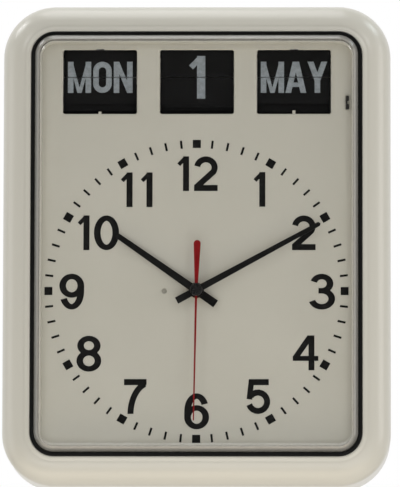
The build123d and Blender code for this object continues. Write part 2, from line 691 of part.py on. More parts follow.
def make_battery_contacts():
    """Flat plate at the terminal and a strip with a bent tongue at the cell's base."""
    back, front = CELL_DEPTH - CONTACT_W / 2, CELL_DEPTH + CONTACT_W / 2
    right = BAY_W / 2
    left = -right
    cell_left = left + SPRING_ROOM - CONTACT_T
    plate = across(Pos(-CELL_DEPTH, CELL_Z) * Rectangle(CONTACT_W, CONTACT_H), right - CONTACT_T, right)
    strip = box_at(left + CONTACT_T / 2, CELL_Z, CONTACT_T, CONTACT_H)
    tongue = Polygon((left, CELL_Z - 8), (left + CONTACT_T, CELL_Z - 8), (cell_left, CELL_Z - 0.6),
                     (cell_left, CELL_Z + 2.5), (cell_left - CONTACT_T, CELL_Z + 2.5),
                     (cell_left - CONTACT_T, CELL_Z - 0.4), (left, CELL_Z - 7), align=None)
    return Compound(children=[plate, slab(strip + tongue, back, front)])


def make_hanger_plate():
    plate = Pos(0, HANGER_Z) * RectangleRounded(HANGER_W, HANGER_H, HANGER_R)
    plate -= disc((0, -KEY_DROP), KEYHOLE_R)
    plate -= disc((0, -KEY_SLOT_R), KEY_SLOT_R)
    plate -= box_at(0, -(KEY_DROP + KEY_SLOT_R) / 2, 2 * KEY_SLOT_R, KEY_DROP - KEY_SLOT_R)
    for place in hanger_screw_places():
        plate -= disc(place, SCREW_R + RUN)
    return slab(plate, COVER_RECESS - HANGER_T, COVER_RECESS)


# Flip modules

def card_ring(cards):
    """Step of the drum and radius of the ring of card pins."""
    step = 360 / cards
    return step, PIN_FRONT / cos(radians(step / 2))


def pin_inset(cards):
    """Distance of a card's pins from its hinge edge."""
    step, ring_r = card_ring(cards)
    return ring_r * sin(radians(step / 2)) - CARD_SPLIT


def card_solid(x, cards, slot, direction):
    """One card on its place in the ring, pointing where 0 is forward and 90 is up."""
    step, ring_r = card_ring(cards)
    at = polar((0, 0), ring_r, (slot + 0.5) * step)
    inset = pin_inset(cards)
    leaf = Pos(CARD_LENGTH / 2 - inset, 0) * Rectangle(CARD_LENGTH, CARD_T)
    place = Pos(-AXIS_DEPTH - at[0], SPLIT_Z + at[1]) * Rot(0, 0, 180 - direction)
    card = across(place * leaf, x - CARD_W / 2, x + CARD_W / 2)
    root = CARD_W / 2 - PIN_ROOT
    reach = FLANGE_OUT - 0.3
    card += across(place * Circle(PIN_R), x - reach, x - root)
    return card + across(place * Circle(PIN_R), x + root, x + reach)


def peg_places(x):
    upper = SPLIT_Z + SIDE_TOP - 2.5
    lower = SPLIT_Z + SIDE_BOTTOM + TIE_T / 2
    return [(x + side, z) for side in (-PEG_X, PEG_X) for z in (upper, lower)]


def make_frame(x):
    """Two side plates with four ties, pegged to the chassis."""
    axis = (-AXIS_DEPTH, SPLIT_Z)
    thumb = (-THUMB_DEPTH, SPLIT_Z)
    front = -CHASSIS_BACK
    rear = -SIDE_REAR
    side = Polygon((front, SPLIT_Z + SIDE_BOTTOM), (-AXIS_DEPTH, SPLIT_Z + SIDE_BOTTOM),
                   (rear, SPLIT_Z - SIDE_REAR_H), (rear, SPLIT_Z + SIDE_REAR_H),
                   (-AXIS_DEPTH, SPLIT_Z + SIDE_TOP), (front, SPLIT_Z + SIDE_TOP), align=None)
    side -= disc(axis, AXLE_R + RUN) + disc(thumb, THUMB_PIN_R + RUN)
    for rise in (-SIDE_HOLE_RISE, SIDE_HOLE_RISE):
        side -= disc((-AXIS_DEPTH + SIDE_HOLE_IN, SPLIT_Z + rise), SIDE_HOLE_R)
    frame = across(side, x - SIDE_IN - SIDE_T, x - SIDE_IN)
    frame += across(side, x + SIDE_IN, x + SIDE_IN + SIDE_T)
    inner = (x - SIDE_IN - 0.5, x + SIDE_IN + 0.5)
    upper = Pos(front + TIE_DEPTH / 2, SPLIT_Z + SIDE_TOP - 2.5) * Rectangle(TIE_DEPTH, TIE_T)
    lower = Pos(front + TIE_DEPTH / 2, SPLIT_Z + SIDE_BOTTOM + TIE_T / 2) * Rectangle(TIE_DEPTH, TIE_T)
    frame += across(upper, *inner) + across(lower, *inner)
    for rise in (-SIDE_REAR_H + TIE_T, SIDE_REAR_H - TIE_T):
        tie = Pos(rear - 5, SPLIT_Z + rise) * Rectangle(TIE_DEPTH, TIE_T)
        frame += across(tie, *inner)
    for place in peg_places(x):
        frame += slab(disc(place, PEG_R), CHASSIS_BACK - 0.5, CHASSIS_BACK + PEG_LENGTH)
    return frame


def make_axle(x):
    rod = Pos(-AXIS_DEPTH, SPLIT_Z) * Circle(AXLE_R)
    end = SIDE_IN + SIDE_T + 1.0
    return chamfer(across(rod, x - end, x + end).edges(), 0.3)


def ratchet_face(teeth):
    """Saw teeth, with the steep side facing up where the finger meets it."""
    points = []
    for tooth in range(teeth):
        start = tooth * 360 / teeth
        points.append(polar((0, 0), RATCHET_R, start))
        points.append(polar((0, 0), RATCHET_R - 1.5, start + 2))
    return Polygon(*points, align=None)


def make_drum(x, cards):
    """Core, two flanges with the card pin holes, ratchet on the left and gear on the right."""
    step, ring_r = card_ring(cards)
    axis = Pos(-AXIS_DEPTH, SPLIT_Z)
    flange = Circle(ring_r + PIN_EDGE)
    for card in range(cards):
        flange -= disc(polar((0, 0), ring_r, 180 - (card + 0.5) * step), PIN_R + RUN)
    drum = across(axis * Circle(CORE_R), x - WHEEL_OUT, x + WHEEL_OUT)
    drum += across(axis * flange, x - FLANGE_OUT, x - FLANGE_IN)
    drum += across(axis * flange, x + FLANGE_IN, x + FLANGE_OUT)
    drum += across(axis * ratchet_face(cards), x - WHEEL_OUT, x - WHEEL_IN)
    drum += across(axis * gear_face(DRUM_TEETH, THUMB_MODULE), x + WHEEL_IN, x + WHEEL_OUT)
    return drum - across(axis * Circle(AXLE_R + RUN), x - WHEEL_OUT, x + WHEEL_OUT)


def make_card_pack(x, cards):
    """Lower card in front and the stored cards fanned round the back of the drum."""
    step = 360 / cards
    first = 90 + CARD_LEAN + step
    last = cards - 2
    pack = []
    for slot in range(2, cards - 1):
        direction = first + (270 - first) * (slot - 2) / (last - 2)
        pack.append(card_solid(x, cards, slot, direction))
    pack.append(card_solid(x, cards, cards - 1, 270))
    return Compound(children=pack)


def make_catch(x):
    """Thin tongue in front of the upper card's edge, under the frame's upper tie."""
    top = SPLIT_Z + SIDE_TOP - 2.5 - TIE_T / 2
    low = SPLIT_Z + CARD_SPLIT + CARD_LENGTH + CATCH_CLEAR
    tongue_back = CARD_FACE + 0.25
    tongue = box_at(x, (top + low) / 2, CATCH_W, top - low)
    foot = box_at(x, top - CATCH_T / 2, 2 * CATCH_W, CATCH_T)
    catch = slab(tongue, tongue_back, tongue_back + CATCH_T)
    return catch + slab(foot, CHASSIS_BACK - TIE_DEPTH, tongue_back + CATCH_T)


def make_thumbwheel(x):
    """Toothed wheel that meshes with the drum and passes through the rear cover."""
    centre = Pos(-THUMB_DEPTH, SPLIT_Z)
    turn = meshing_turn(0, 0, DRUM_TEETH, THUMB_TEETH)
    face = gear_face(THUMB_TEETH, THUMB_MODULE, turn)
    for hole in range(THUMB_HOLES):
        face -= disc(polar((0, 0), THUMB_HOLE_RING, hole * 360 / THUMB_HOLES), THUMB_HOLE_R)
    wheel = across(centre * face, x + WHEEL_IN, x + WHEEL_OUT)
    wheel += across(centre * Circle(THUMB_PIN_R), x + WHEEL_OUT, x + SIDE_IN + SIDE_T + 1)
    return wheel


def make_modules():
    nodes = {}
    for name, (x, cards) in MODULES.items():
        nodes[name + "_frame"] = make_frame(x)
        nodes[name + "_axle"] = make_axle(x)
        nodes[name + "_drum"] = make_drum(x, cards)
        nodes[name + "_cards"] = make_card_pack(x, cards)
        nodes[name + "_top_card"] = card_solid(x, cards, 0, 90)
        nodes[name + "_next_card"] = card_solid(x, cards, 1, 90 + CARD_LEAN)
        nodes[name + "_catch"] = make_catch(x)
        nodes[name + "_thumbwheel"] = make_thumbwheel(x)
    return nodes


# Movement

def train_places():
    """Arbors of the wheels that don't turn about the hands' own arbor."""
    third = polar(ARBOR, THIRD_MODULE * (PINION_TEETH + THIRD_TEETH) / 2, THIRD_AT)
    step = polar(ARBOR, THIRD_MODULE * (PINION_TEETH + SECOND_TEETH) / 2, STEP_AT)
    rotor = polar(step, ROTOR_MODULE * (PINION_TEETH + STEP_TEETH) / 2, ROTOR_AT)
    motion = polar(ARBOR, CANNON_MODULE * (CANNON_TEETH + MOTION_TEETH) / 2, MOTION_AT)
    daily = polar(ARBOR, CALENDAR_MODULE * (DAILY_TEETH + CALENDAR_TEETH) / 2, CALENDAR_AT)
    return third, step, rotor, motion, daily


def movement_panel(inset):
    place = Pos(ARBOR[0], ARBOR[1] + MOVEMENT_LIFT)
    return place * RectangleRounded(MOVEMENT_W - 2 * inset, MOVEMENT_H - 2 * inset, MOVEMENT_R - inset)


def make_movement_base():
    """Front plate with the threaded bush and the studs of the wheels behind the dial."""
    third, step, rotor, motion, daily = train_places()
    base = slab(movement_panel(0), BASE_BACK, CHASSIS_BACK)
    base += slab(disc(ARBOR, BUSH_R), BASE_BACK, BUSH_FRONT)
    base += slab(disc(motion, STUD_R), MINUTE_PLANE - PINION_T / 2 - 0.4, BASE_BACK)
    base += slab(disc(daily, STUD_R), CALENDAR_PLANE - WHEEL_T / 2 - 0.4, BASE_BACK)
    base -= bore(ARBOR, HOUR_TUBE_R, BASE_BACK, BUSH_FRONT)
    base -= bore(third, PIVOT_R, BASE_BACK, BASE_BACK + 1.3)
    return base - bore(knob_place(), STUD_R, BASE_BACK, BASE_BACK + 1.3)


def make_movement_cover():
    third, step, rotor, motion, daily = train_places()
    cover = slab(movement_panel(0), SHELL_BACK, BASE_BACK)
    cover = fillet(cover.faces().sort_by(Axis.Y)[-1].edges(), 1.5)
    cover -= slab(movement_panel(MOVEMENT_WALL), SHELL_INNER, BASE_BACK)
    for place in (ARBOR, step, rotor):
        cover -= bore(place, PIVOT_R, SHELL_INNER - 1.4, SHELL_INNER)
    cover -= bore(knob_place(), STUD_R, SHELL_BACK, SHELL_INNER)
    for x, z in board_posts():
        cover += slab(disc((x, z), 2), SHELL_INNER, ROTOR_PLANE)
    wall_z = ARBOR[1] + MOVEMENT_LIFT + MOVEMENT_H / 2
    slot = box_at(0, wall_z, BAR_LEG_W + 2, 3 * MOVEMENT_WALL)
    return cover - slab(slot, BAR_BACK - 0.7, BAR_BACK + BAR_T + 0.7)


def bridge_edges():
    """Left, right, bottom and top of the bridge, clear of the movement's walls."""
    room_w = MOVEMENT_W / 2 - MOVEMENT_WALL
    room_h = MOVEMENT_H / 2 - MOVEMENT_WALL
    middle = ARBOR[1] + MOVEMENT_LIFT
    left = ARBOR[0] - room_w + BRIDGE_GAP
    right = ARBOR[0] + room_w - BRIDGE_SIDE
    return left, right, middle - room_h + BRIDGE_FOOT, middle + room_h - BRIDGE_HEAD


def bridge_legs():
    left, right, bottom, top = bridge_edges()
    inset = BRIDGE_LEG_R + 1
    return [(left + inset, bottom + inset), (left + inset, top - inset), (right - inset, top - inset)]


def make_train_bridge():
    """Middle plate on three legs, which holds the train's inner pivots."""
    third, step, rotor, motion, daily = train_places()
    left, right, low, high = bridge_edges()
    outline = Polygon((left, low), (left, high), (right, high), (right, high - BRIDGE_END),
                      (ARBOR[0] - 2, low), align=None)
    back = BRIDGE_PLANE - BRIDGE_T / 2
    front = BRIDGE_PLANE + BRIDGE_T / 2
    bridge = slab(outline, back, front)
    bridge = fillet(bridge.edges().filter_by(Axis.Y), 3)
    for leg in bridge_legs():
        bridge += slab(disc(leg, BRIDGE_LEG_R), back, BASE_BACK)
    for place in (ARBOR, third, step, rotor):
        bridge -= bore(place, PIVOT_R, back, front)
    return bridge


def board_centre():
    """Middle of the board, which stands in the lower right corner of the movement."""
    right = ARBOR[0] + MOVEMENT_W / 2 - MOVEMENT_WALL - BOARD_SIDE_GAP
    bottom = ARBOR[1] + MOVEMENT_LIFT - MOVEMENT_H / 2 + MOVEMENT_WALL + BOARD_FOOT_GAP
    return right - BOARD_W / 2, bottom + BOARD_H / 2


def board_posts():
    x, z = board_centre()
    return [(x - BOARD_W / 3, z - BOARD_H / 3), (x + BOARD_W / 3 + 2, z + BOARD_H / 3 - 1)]


def make_circuit_board():
    """Board on two posts, with a chip, a crystal can and a capacitor."""
    x, z = board_centre()
    back = ROTOR_PLANE
    top = back + BOARD_T
    chip, can = box_at(x - 8, z + 3, 8, 6), box_at(x + 6, z - 5, 7, 3)
    board = slab(box_at(x, z, BOARD_W, BOARD_H), back, top)
    board += slab(chip, top, top + 1.6) + slab(can, top, top + 2.6)
    return board + slab(disc((x + 6, z + 3), 2.5), top, top + 3)


def make_stator():
    """Laminated plate round the rotor, with two arms to the coil's core."""
    third, step, rotor, motion, daily = train_places()
    back = ROTOR_PLANE - STATOR_T / 2
    plate = box_at(rotor[0], rotor[1], 2 * STATOR_ARM + 5, 13)
    for side in (-1, 1):
        arm_x = rotor[0] + side * STATOR_ARM
        plate += box_at(arm_x, rotor[1] - COIL_DROP / 2, 5, COIL_DROP + 5)
    plate -= disc(rotor, MAGNET_R + 0.6)
    stator = slab(plate, back, back + STATOR_T)
    for side in (-1, 1):
        arm_x = rotor[0] + side * STATOR_ARM
        stator += slab(box_at(arm_x, rotor[1] - COIL_DROP, 5, 5), back, ROTOR_PLANE + COIL_LIFT + 2.5)
    core = Pos(-ROTOR_PLANE - COIL_LIFT, rotor[1] - COIL_DROP) * Circle(CORE_BAR_R)
    return stator + across(core, rotor[0] - STATOR_ARM, rotor[0] + STATOR_ARM)


def make_coil():
    """Winding on a flanged bobbin round the stator's core."""
    third, step, rotor, motion, daily = train_places()
    centre = Pos(-ROTOR_PLANE - COIL_LIFT, rotor[1] - COIL_DROP)
    half = STATOR_ARM - 2.7
    coil = across(centre * Circle(COIL_R), rotor[0] - half, rotor[0] + half)
    for side in (-1, 1):
        flange_x = rotor[0] + side * (half - 0.5)
        coil += across(centre * Circle(BOBBIN_R), flange_x - 0.5, flange_x + 0.5)
    return coil - across(centre * Circle(CORE_BAR_R + RUN), rotor[0] - half, rotor[0] + half)


def make_train():
    """Wheels between the rotor and the centre wheel, meshed at rest."""
    third, step, rotor, motion, daily = train_places()
    pivot = disc((0, 0), PIVOT_R)
    shell_end = SHELL_INNER - 1.2
    bridge_end = BRIDGE_PLANE + BRIDGE_T / 2
    rotor_wheel = slab(disc(rotor, MAGNET_R), ROTOR_PLANE - MAGNET_T / 2, ROTOR_PLANE + MAGNET_T / 2)
    rotor_wheel += spur(rotor, PINION_TEETH, ROTOR_MODULE, STEP_PLANE, PINION_T)
    rotor_wheel += slab(Pos(*rotor) * pivot, shell_end, bridge_end)
    step_turn = meshing_turn(0, ROTOR_AT + 180, PINION_TEETH, STEP_TEETH)
    step_wheel = spur(step, STEP_TEETH, ROTOR_MODULE, STEP_PLANE, WHEEL_T, step_turn)
    step_wheel -= wheel_windows(step, STEP_TEETH, ROTOR_MODULE, 3, STEP_PLANE)
    step_wheel += spur(step, PINION_TEETH, THIRD_MODULE, SECOND_PLANE, PINION_T)
    step_wheel += slab(Pos(*step) * pivot, shell_end, bridge_end)
    second_turn = meshing_turn(0, STEP_AT + 180, PINION_TEETH, SECOND_TEETH)
    second_wheel = spur(ARBOR, SECOND_TEETH, THIRD_MODULE, SECOND_PLANE, WHEEL_T, second_turn)
    second_wheel -= wheel_windows(ARBOR, SECOND_TEETH, THIRD_MODULE, 3, SECOND_PLANE)
    second_wheel += spur(ARBOR, PINION_TEETH, THIRD_MODULE, THIRD_PLANE, PINION_T)
    second_wheel += slab(Pos(*ARBOR) * pivot, shell_end, SECOND_DEPTH + 1.8)
    third_turn = meshing_turn(0, THIRD_AT, PINION_TEETH, THIRD_TEETH)
    third_wheel = spur(third, THIRD_TEETH, THIRD_MODULE, THIRD_PLANE, WHEEL_T, third_turn)
    third_wheel -= wheel_windows(third, THIRD_TEETH, THIRD_MODULE, 4, THIRD_PLANE)
    third_wheel += spur(third, PINION_TEETH, CENTRE_MODULE, CENTRE_PLANE, PINION_T)
    third_wheel += slab(Pos(*third) * pivot, BRIDGE_PLANE - BRIDGE_T / 2, BASE_BACK + 1)
    centre_turn = meshing_turn(0, THIRD_AT + 180, PINION_TEETH, CENTRE_TEETH)
    centre_wheel = spur(ARBOR, CENTRE_TEETH, CENTRE_MODULE, CENTRE_PLANE, WHEEL_T, centre_turn)
    centre_wheel -= wheel_windows(ARBOR, CENTRE_TEETH, CENTRE_MODULE, 5, CENTRE_PLANE)
    centre_wheel -= bore(ARBOR, MINUTE_TUBE_R, CENTRE_PLANE - WHEEL_T, CENTRE_PLANE + WHEEL_T)
    return {"rotor": rotor_wheel, "step_wheel": step_wheel, "second_wheel": second_wheel,
            "third_wheel": third_wheel, "centre_wheel": centre_wheel}


def make_motion_work():
    """Wheels that carry the minute arbor's turn to the hour hand and the calendar."""
    third, step, rotor, motion, daily = train_places()
    rear = CENTRE_PLANE - WHEEL_T / 2 - 0.8
    arbor = slab(disc(ARBOR, MINUTE_TUBE_R), rear, MINUTE_DEPTH + HAND_T)
    arbor += slab(disc(ARBOR, 3.4), rear, rear + 0.6)
    arbor += spur(ARBOR, CANNON_TEETH, CANNON_MODULE, MINUTE_PLANE, PINION_T)
    arbor -= bore(ARBOR, PIVOT_R, rear, MINUTE_DEPTH + HAND_T)
    motion_turn = meshing_turn(0, MOTION_AT, CANNON_TEETH, MOTION_TEETH)
    motion_wheel = spur(motion, MOTION_TEETH, CANNON_MODULE, MINUTE_PLANE, WHEEL_T, motion_turn)
    motion_wheel -= wheel_windows(motion, MOTION_TEETH, CANNON_MODULE, 5, MINUTE_PLANE)
    motion_wheel += slab(disc(motion, 2.8), MINUTE_PLANE, HOUR_PLANE)
    motion_wheel += spur(motion, PINION_TEETH, HOUR_MODULE, HOUR_PLANE, PINION_T)
    motion_wheel -= bore(motion, STUD_R, MINUTE_PLANE - PINION_T, HOUR_PLANE + PINION_T)
    hour_turn = meshing_turn(0, MOTION_AT + 180, PINION_TEETH, HOUR_TEETH)
    hour_wheel = spur(ARBOR, HOUR_TEETH, HOUR_MODULE, HOUR_PLANE, WHEEL_T, hour_turn)
    hour_wheel += spur(ARBOR, DAILY_TEETH, CALENDAR_MODULE, CALENDAR_PLANE, 2.0)
    hour_wheel += slab(disc(ARBOR, HOUR_TUBE_R), HOUR_PLANE, HOUR_DEPTH + HAND_T)
    hour_wheel -= bore(ARBOR, MINUTE_TUBE_R, HOUR_PLANE - PINION_T, HOUR_DEPTH + HAND_T)
    daily_turn = meshing_turn(0, CALENDAR_AT, DAILY_TEETH, CALENDAR_TEETH)
    calendar_wheel = spur(daily, CALENDAR_TEETH, CALENDAR_MODULE, CALENDAR_PLANE, WHEEL_T, daily_turn)
    calendar_wheel -= bore(daily, STUD_R, CALENDAR_PLANE - WHEEL_T, CALENDAR_PLANE + WHEEL_T)
    pin = disc(polar(daily, DAILY_PIN_RING, DAILY_PIN_AT), DAILY_PIN_R)
    calendar_wheel += slab(pin, BAR_BACK, CALENDAR_PLANE)
    return {"minute_arbor": arbor, "motion_wheel": motion_wheel, "hour_wheel": hour_wheel,
            "calendar_wheel": calendar_wheel}


def make_setting_knob():
    """Fluted knob on a long spindle, with a pinion on the motion wheel."""
    place = knob_place()
    third, step, rotor, motion, daily = train_places()
    motion_turn = meshing_turn(0, MOTION_AT, CANNON_TEETH, MOTION_TEETH)
    pinion_turn = meshing_turn(motion_turn, MOTION_AT, MOTION_TEETH, CANNON_TEETH)
    head = slab(disc(place, KNOB_R), KNOB_DEPTH, KNOB_DEPTH + KNOB_T)
    head = chamfer(head.faces().sort_by(Axis.Y)[-1].edges(), 0.6)
    flutes = Sketch()
    for flute in range(KNOB_FLUTES):
        flutes += disc(polar(place, KNOB_R + 0.3, flute * 360 / KNOB_FLUTES), 0.9)
    knob = head - slab(flutes, 0, COVER_RECESS)
    knob += slab(disc(place, STUD_R), KNOB_DEPTH + 1, BASE_BACK + 1)
    return knob + spur(place, CANNON_TEETH, CANNON_MODULE, MINUTE_PLANE, PINION_T, pinion_turn)


def make_dial_nut():
    ring = disc(ARBOR, NUT_R) - disc(ARBOR, BUSH_R + RUN)
    for side in (-1, 1):
        ring -= box_at(ARBOR[0] + side * NUT_R, ARBOR[1], 2.4, 1.8)
    return slab(ring, DIAL_FRONT, DIAL_FRONT + NUT_T)


def make_advance_bar():
    """Stamped bar: one leg to the daily wheel and a finger to two of the ratchets."""
    daily = train_places()[4]
    foot_z = daily[1] + DAILY_PIN_RING + DAILY_PIN_R + 0.5
    fingers = [MODULES[name][0] + FINGER_X for name in ("day", "date")]
    left = fingers[0] - 3
    right = BAR_POSTS[1] + 8
    bar = box_at((left + right) / 2, BAR_Z, right - left, BAR_H)
    bar += box_at(0, (foot_z + BAR_Z) / 2, BAR_LEG_W, BAR_Z - foot_z)
    for x in fingers:
        bar += box_at(x, (BAR_Z + SPLIT_Z + 3) / 2, FINGER_W, SPLIT_Z + 3 - BAR_Z)
    slot_h = BAR_STROKE + 2 * STUD_R + 0.4
    for x in BAR_POSTS:
        bar -= box_at(x, BAR_Z - BAR_STROKE / 2, 2 * STUD_R + 0.3, slot_h)
    return slab(bar, BAR_BACK, BAR_BACK + BAR_T)


def make_nodes():
    nodes = {
        "case_shell": make_case_shell(),
        "lens_gasket": make_lens_gasket(),
        "front_lens": make_front_lens(),
        "dial_plate": make_dial_plate(),
        "dial_markings": make_dial_markings(),
        "dial_clip": make_dial_clip(),
        "locating_pin": make_locating_pin(),
        "hour_hand": make_hour_hand(),
        "minute_hand": make_minute_hand(),
        "second_hand": make_second_hand(),
        "second_hand_cap": make_second_hand_cap(),
        "dial_nut": make_dial_nut(),
        "chassis_plate": make_chassis_plate(),
        "case_screws": make_case_screws(),
        "rear_cover": make_rear_cover(),
        "battery_cover": make_battery_cover(),
        "battery": make_battery(),
        "battery_contacts": make_battery_contacts(),
        "hanger_plate": make_hanger_plate(),
        "movement_base": make_movement_base(),
        "movement_cover": make_movement_cover(),
        "train_bridge": make_train_bridge(),
        "circuit_board": make_circuit_board(),
        "stator": make_stator(),
        "coil": make_coil(),
        "setting_knob": make_setting_knob(),
        "advance_bar": make_advance_bar(),
    }
    nodes.update(make_train())
    nodes.update(make_motion_work())
    nodes.update(make_modules())
    return nodes


os.makedirs("parts", exist_ok=True)
for node_name, solid in make_nodes().items():
    solid.label = node_name
    export_step(solid, "parts/" + node_name + ".step")
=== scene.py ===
"""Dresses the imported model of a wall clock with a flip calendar, and lights it for a picture."""

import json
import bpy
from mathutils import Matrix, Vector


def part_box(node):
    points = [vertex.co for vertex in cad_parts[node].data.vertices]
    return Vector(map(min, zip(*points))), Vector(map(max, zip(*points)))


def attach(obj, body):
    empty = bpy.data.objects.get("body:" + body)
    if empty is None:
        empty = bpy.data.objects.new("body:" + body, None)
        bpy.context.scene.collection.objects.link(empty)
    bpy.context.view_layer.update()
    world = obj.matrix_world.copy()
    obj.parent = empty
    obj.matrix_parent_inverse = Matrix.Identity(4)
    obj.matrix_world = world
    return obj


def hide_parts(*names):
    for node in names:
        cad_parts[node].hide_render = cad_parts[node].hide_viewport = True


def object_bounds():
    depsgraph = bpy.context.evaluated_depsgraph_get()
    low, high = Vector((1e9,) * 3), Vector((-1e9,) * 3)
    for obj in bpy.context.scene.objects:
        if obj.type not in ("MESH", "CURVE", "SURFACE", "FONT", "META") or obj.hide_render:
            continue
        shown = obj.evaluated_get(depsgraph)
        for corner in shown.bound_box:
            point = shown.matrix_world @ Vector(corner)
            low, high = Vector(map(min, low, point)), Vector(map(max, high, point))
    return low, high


bl_info = {
    "name": "Wall Calendar Clock",
    "version": (1, 0, 0),
    "blender": (4, 5, 0),
    "location": "View3D > Sidebar > Clock",
    "description": "Makes the visible pieces, finishes and studio of a wall clock with a flip calendar",
    "category": "Object",
}

from math import cos, inf, pi, radians, sin, sqrt, tau

import bmesh
import bpy
from bpy.props import FloatProperty, FloatVectorProperty, IntProperty, PointerProperty
from bpy.types import Operator, Panel, PropertyGroup
from mathutils import Matrix, Vector
from mathutils.geometry import delaunay_2d_cdt

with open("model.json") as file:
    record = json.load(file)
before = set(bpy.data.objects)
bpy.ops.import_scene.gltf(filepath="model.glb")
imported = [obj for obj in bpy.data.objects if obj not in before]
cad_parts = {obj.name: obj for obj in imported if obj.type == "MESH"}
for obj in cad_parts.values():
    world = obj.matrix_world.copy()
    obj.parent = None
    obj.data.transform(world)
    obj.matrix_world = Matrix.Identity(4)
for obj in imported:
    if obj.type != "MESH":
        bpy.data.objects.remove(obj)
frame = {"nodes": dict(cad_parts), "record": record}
CAD_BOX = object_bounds()
CASE_MIDDLE = (CAD_BOX[0][2] + CAD_BOX[1][2]) / 2
MM = 0.001
FINISH_SUFFIX = "_finish"
PLASTIC_IOR = 1.49

# A fit is the clearance, over the whole width, between a piece and the one round it. A land is a
# short straight beside a curve, which keeps the curve's shading out of the flat.
FIT = 0.2 * MM
LAND = 0.4 * MM

# The case's lip rises in a soft swell that starts this far outside it
LIP_SWELL = 3.5 * MM
LIP_STEPS = 8

# Distances of the screws to both sides of the middle, and above and below it
COVER_POST = (152.75 * MM, 125 * MM)
CHASSIS_POST = (144.9 * MM, 150 * MM)
HANGER_SCREW = (19 * MM, 20 * MM)
HANGER_MIDDLE = -4 * MM

# Flip calendar: cards on each drum, words shown now and next, and the lean of the next card.
# A card's pins stand out of its face, and the print stops short of the seam between the halves.
MODULES = {"day": (14, "MON", "TUE"), "date": (31, "1", "2"), "month": (12, "MAY", "JUN")}
NEXT_LEAN = radians(2)
CARD = 0.3 * MM
PIN_OUT = 0.15 * MM
SEAM = 0.25 * MM
LETTER_GAP = 1.7 * MM

# Dial: middle of each numeral to the right of the hands' centre and above it, in millimetres,
# the gap between the figures of a numeral, and the numerals that are a little larger
HOUR_PLACES = {
    12: (0.0, 98.4), 1: (51.7, 85.2), 2: (89.3, 48.8), 3: (104.9, -0.5),
    4: (90.8, -51.6), 5: (51.3, -88.1), 6: (0.4, -100.4), 7: (-50.7, -88.1),
    8: (-89.4, -52.4), 9: (-103.9, -0.5), 10: (-82.5, 48.8), 11: (-50.7, 84.9),
}
HOUR_GAPS = {10: 3.7, 11: 5.6, 12: 4.2}
ROUND_HOURS = (3, 6, 8, 9)
ROUND_GROWTH = 1.03

# Width of each sign as a share of its height. Signs with a wide pen are drawn narrow and spread,
# so that their upright strokes are heavier than their level ones.
SIGN_WIDTHS = {
    "0": 0.72, "1": 0.38, "2": 0.675, "3": 0.7, "4": 0.73, "5": 0.7, "6": 0.69, "7": 0.645,
    "8": 0.69, "9": 0.69, "M": 0.74, "N": 0.6, "O": 0.59, "A": 0.62, "Y": 0.62, "T": 0.54,
    "U": 0.58, "E": 0.5, "J": 0.47,
}
WIDE_PEN_SIGNS = "03689"
PEN_SPREAD = 1.2

# Studio: name, place, width and height, power in watts, and tint of each lamp
LAMPS = (
    ("top_softbox", (-0.2, -0.1, 1.9), (1.6, 1.0), 16, (1, 1, 1)),
    ("top_left_softbox", (-1.4, 0.1, 1.25), (0.6, 0.6), 9, (1, 1, 1)),
    ("top_right_softbox", (1.4, 0.0, 1.3), (0.6, 0.6), 7, (0.85, 0.95, 1)),
    ("right_softbox", (2.2, -0.5, 0.1), (1.0, 1.6), 12, (1, 0.96, 0.94)),
    ("left_softbox", (-2.2, -0.1, -0.2), (1.0, 1.9), 8, (1, 1, 1)),
    ("low_softbox", (-0.1, -0.5, -1.6), (2.8, 0.8), 10, (1, 0.84, 0.62)),
    ("near_low_softbox", (-0.1, -1.0, -0.75), (1.4, 0.4), 1.4, (1, 0.98, 0.95)),
    ("front_low_softbox", (0.3, -1.4, -0.9), (2.2, 1.0), 7, (0.97, 0.98, 1)),
    ("left_spark", (-1.0, -1.75, 0.7), (0.3, 0.25), 2.5, (1, 1, 1)),
    ("right_spark", (1.0, -1.75, 0.7), (0.3, 0.25), 2.5, (1, 1, 1)),
)
LAMP_TARGET = Vector((0, -0.05, -0.17))
CAMERA_TARGET = Vector((0.00282, -0.07, -0.17079))
FLOOR_REACH = 4
FLOOR_LEVEL = -1.7


def srgb(*levels):
    """Linear colour of three screen levels from 0 to 255."""
    parts = [level / 255 for level in levels]
    return [p / 12.92 if p <= 0.04045 else ((p + 0.055) / 1.055) ** 2.4 for p in parts]


def length(name, description, default_mm):
    """Setting for a length, which defaults to a number of millimetres."""
    return FloatProperty(name=name, description=description, default=default_mm * MM,
                         unit="LENGTH", subtype="DISTANCE", precision=4)


def angle(name, description, default_degrees):
    """Setting for an angle, which defaults to a number of degrees."""
    return FloatProperty(name=name, description=description, default=radians(default_degrees),
                         unit="ROTATION", subtype="ANGLE")


def colour(name, description, *levels):
    """Setting for a colour, which defaults to three screen levels."""
    return FloatVectorProperty(name=name, description=description, default=srgb(*levels),
                               size=3, min=0, max=1, subtype="COLOR")


# Sizes and colours that a user may change

class ClockCaseSizes(PropertyGroup):
    """Section of the case, its gasket and its lens."""

    corner: length("Corner", "Radius of the case's corners seen from the front", 43.5)
    edge: length("Front edge", "Radius that rounds the case's front edge", 22)
    wall: length("Wall", "Thickness of the case", 3)
    depth: length("Depth", "Distance from the wall to the case's flat front", 84)
    rim: length("Rim", "Small radius round the back edge", 1)
    lip: length("Lip", "Width of the raised lip round the gasket", 2)
    gasket: length("Gasket", "Thickness of the rubber gasket", 3.3)
    gasket_floor: length("Gasket floor", "Thickness of the gasket under the lens", 0.8)
    gasket_corner: length("Gasket corner", "Radius of the gasket's corners", 20)
    skirt: length("Skirt", "Thickness of the collar that holds the dial", 2.5)
    ledge: length("Ledge", "Width of the ledge that the lens rests on", 8)
    lens_wall: length("Lens wall", "Thickness of the clear lens", 2.5)
    lens_edge: length("Lens edge", "Radius that rounds the lens's front edge", 7.5)


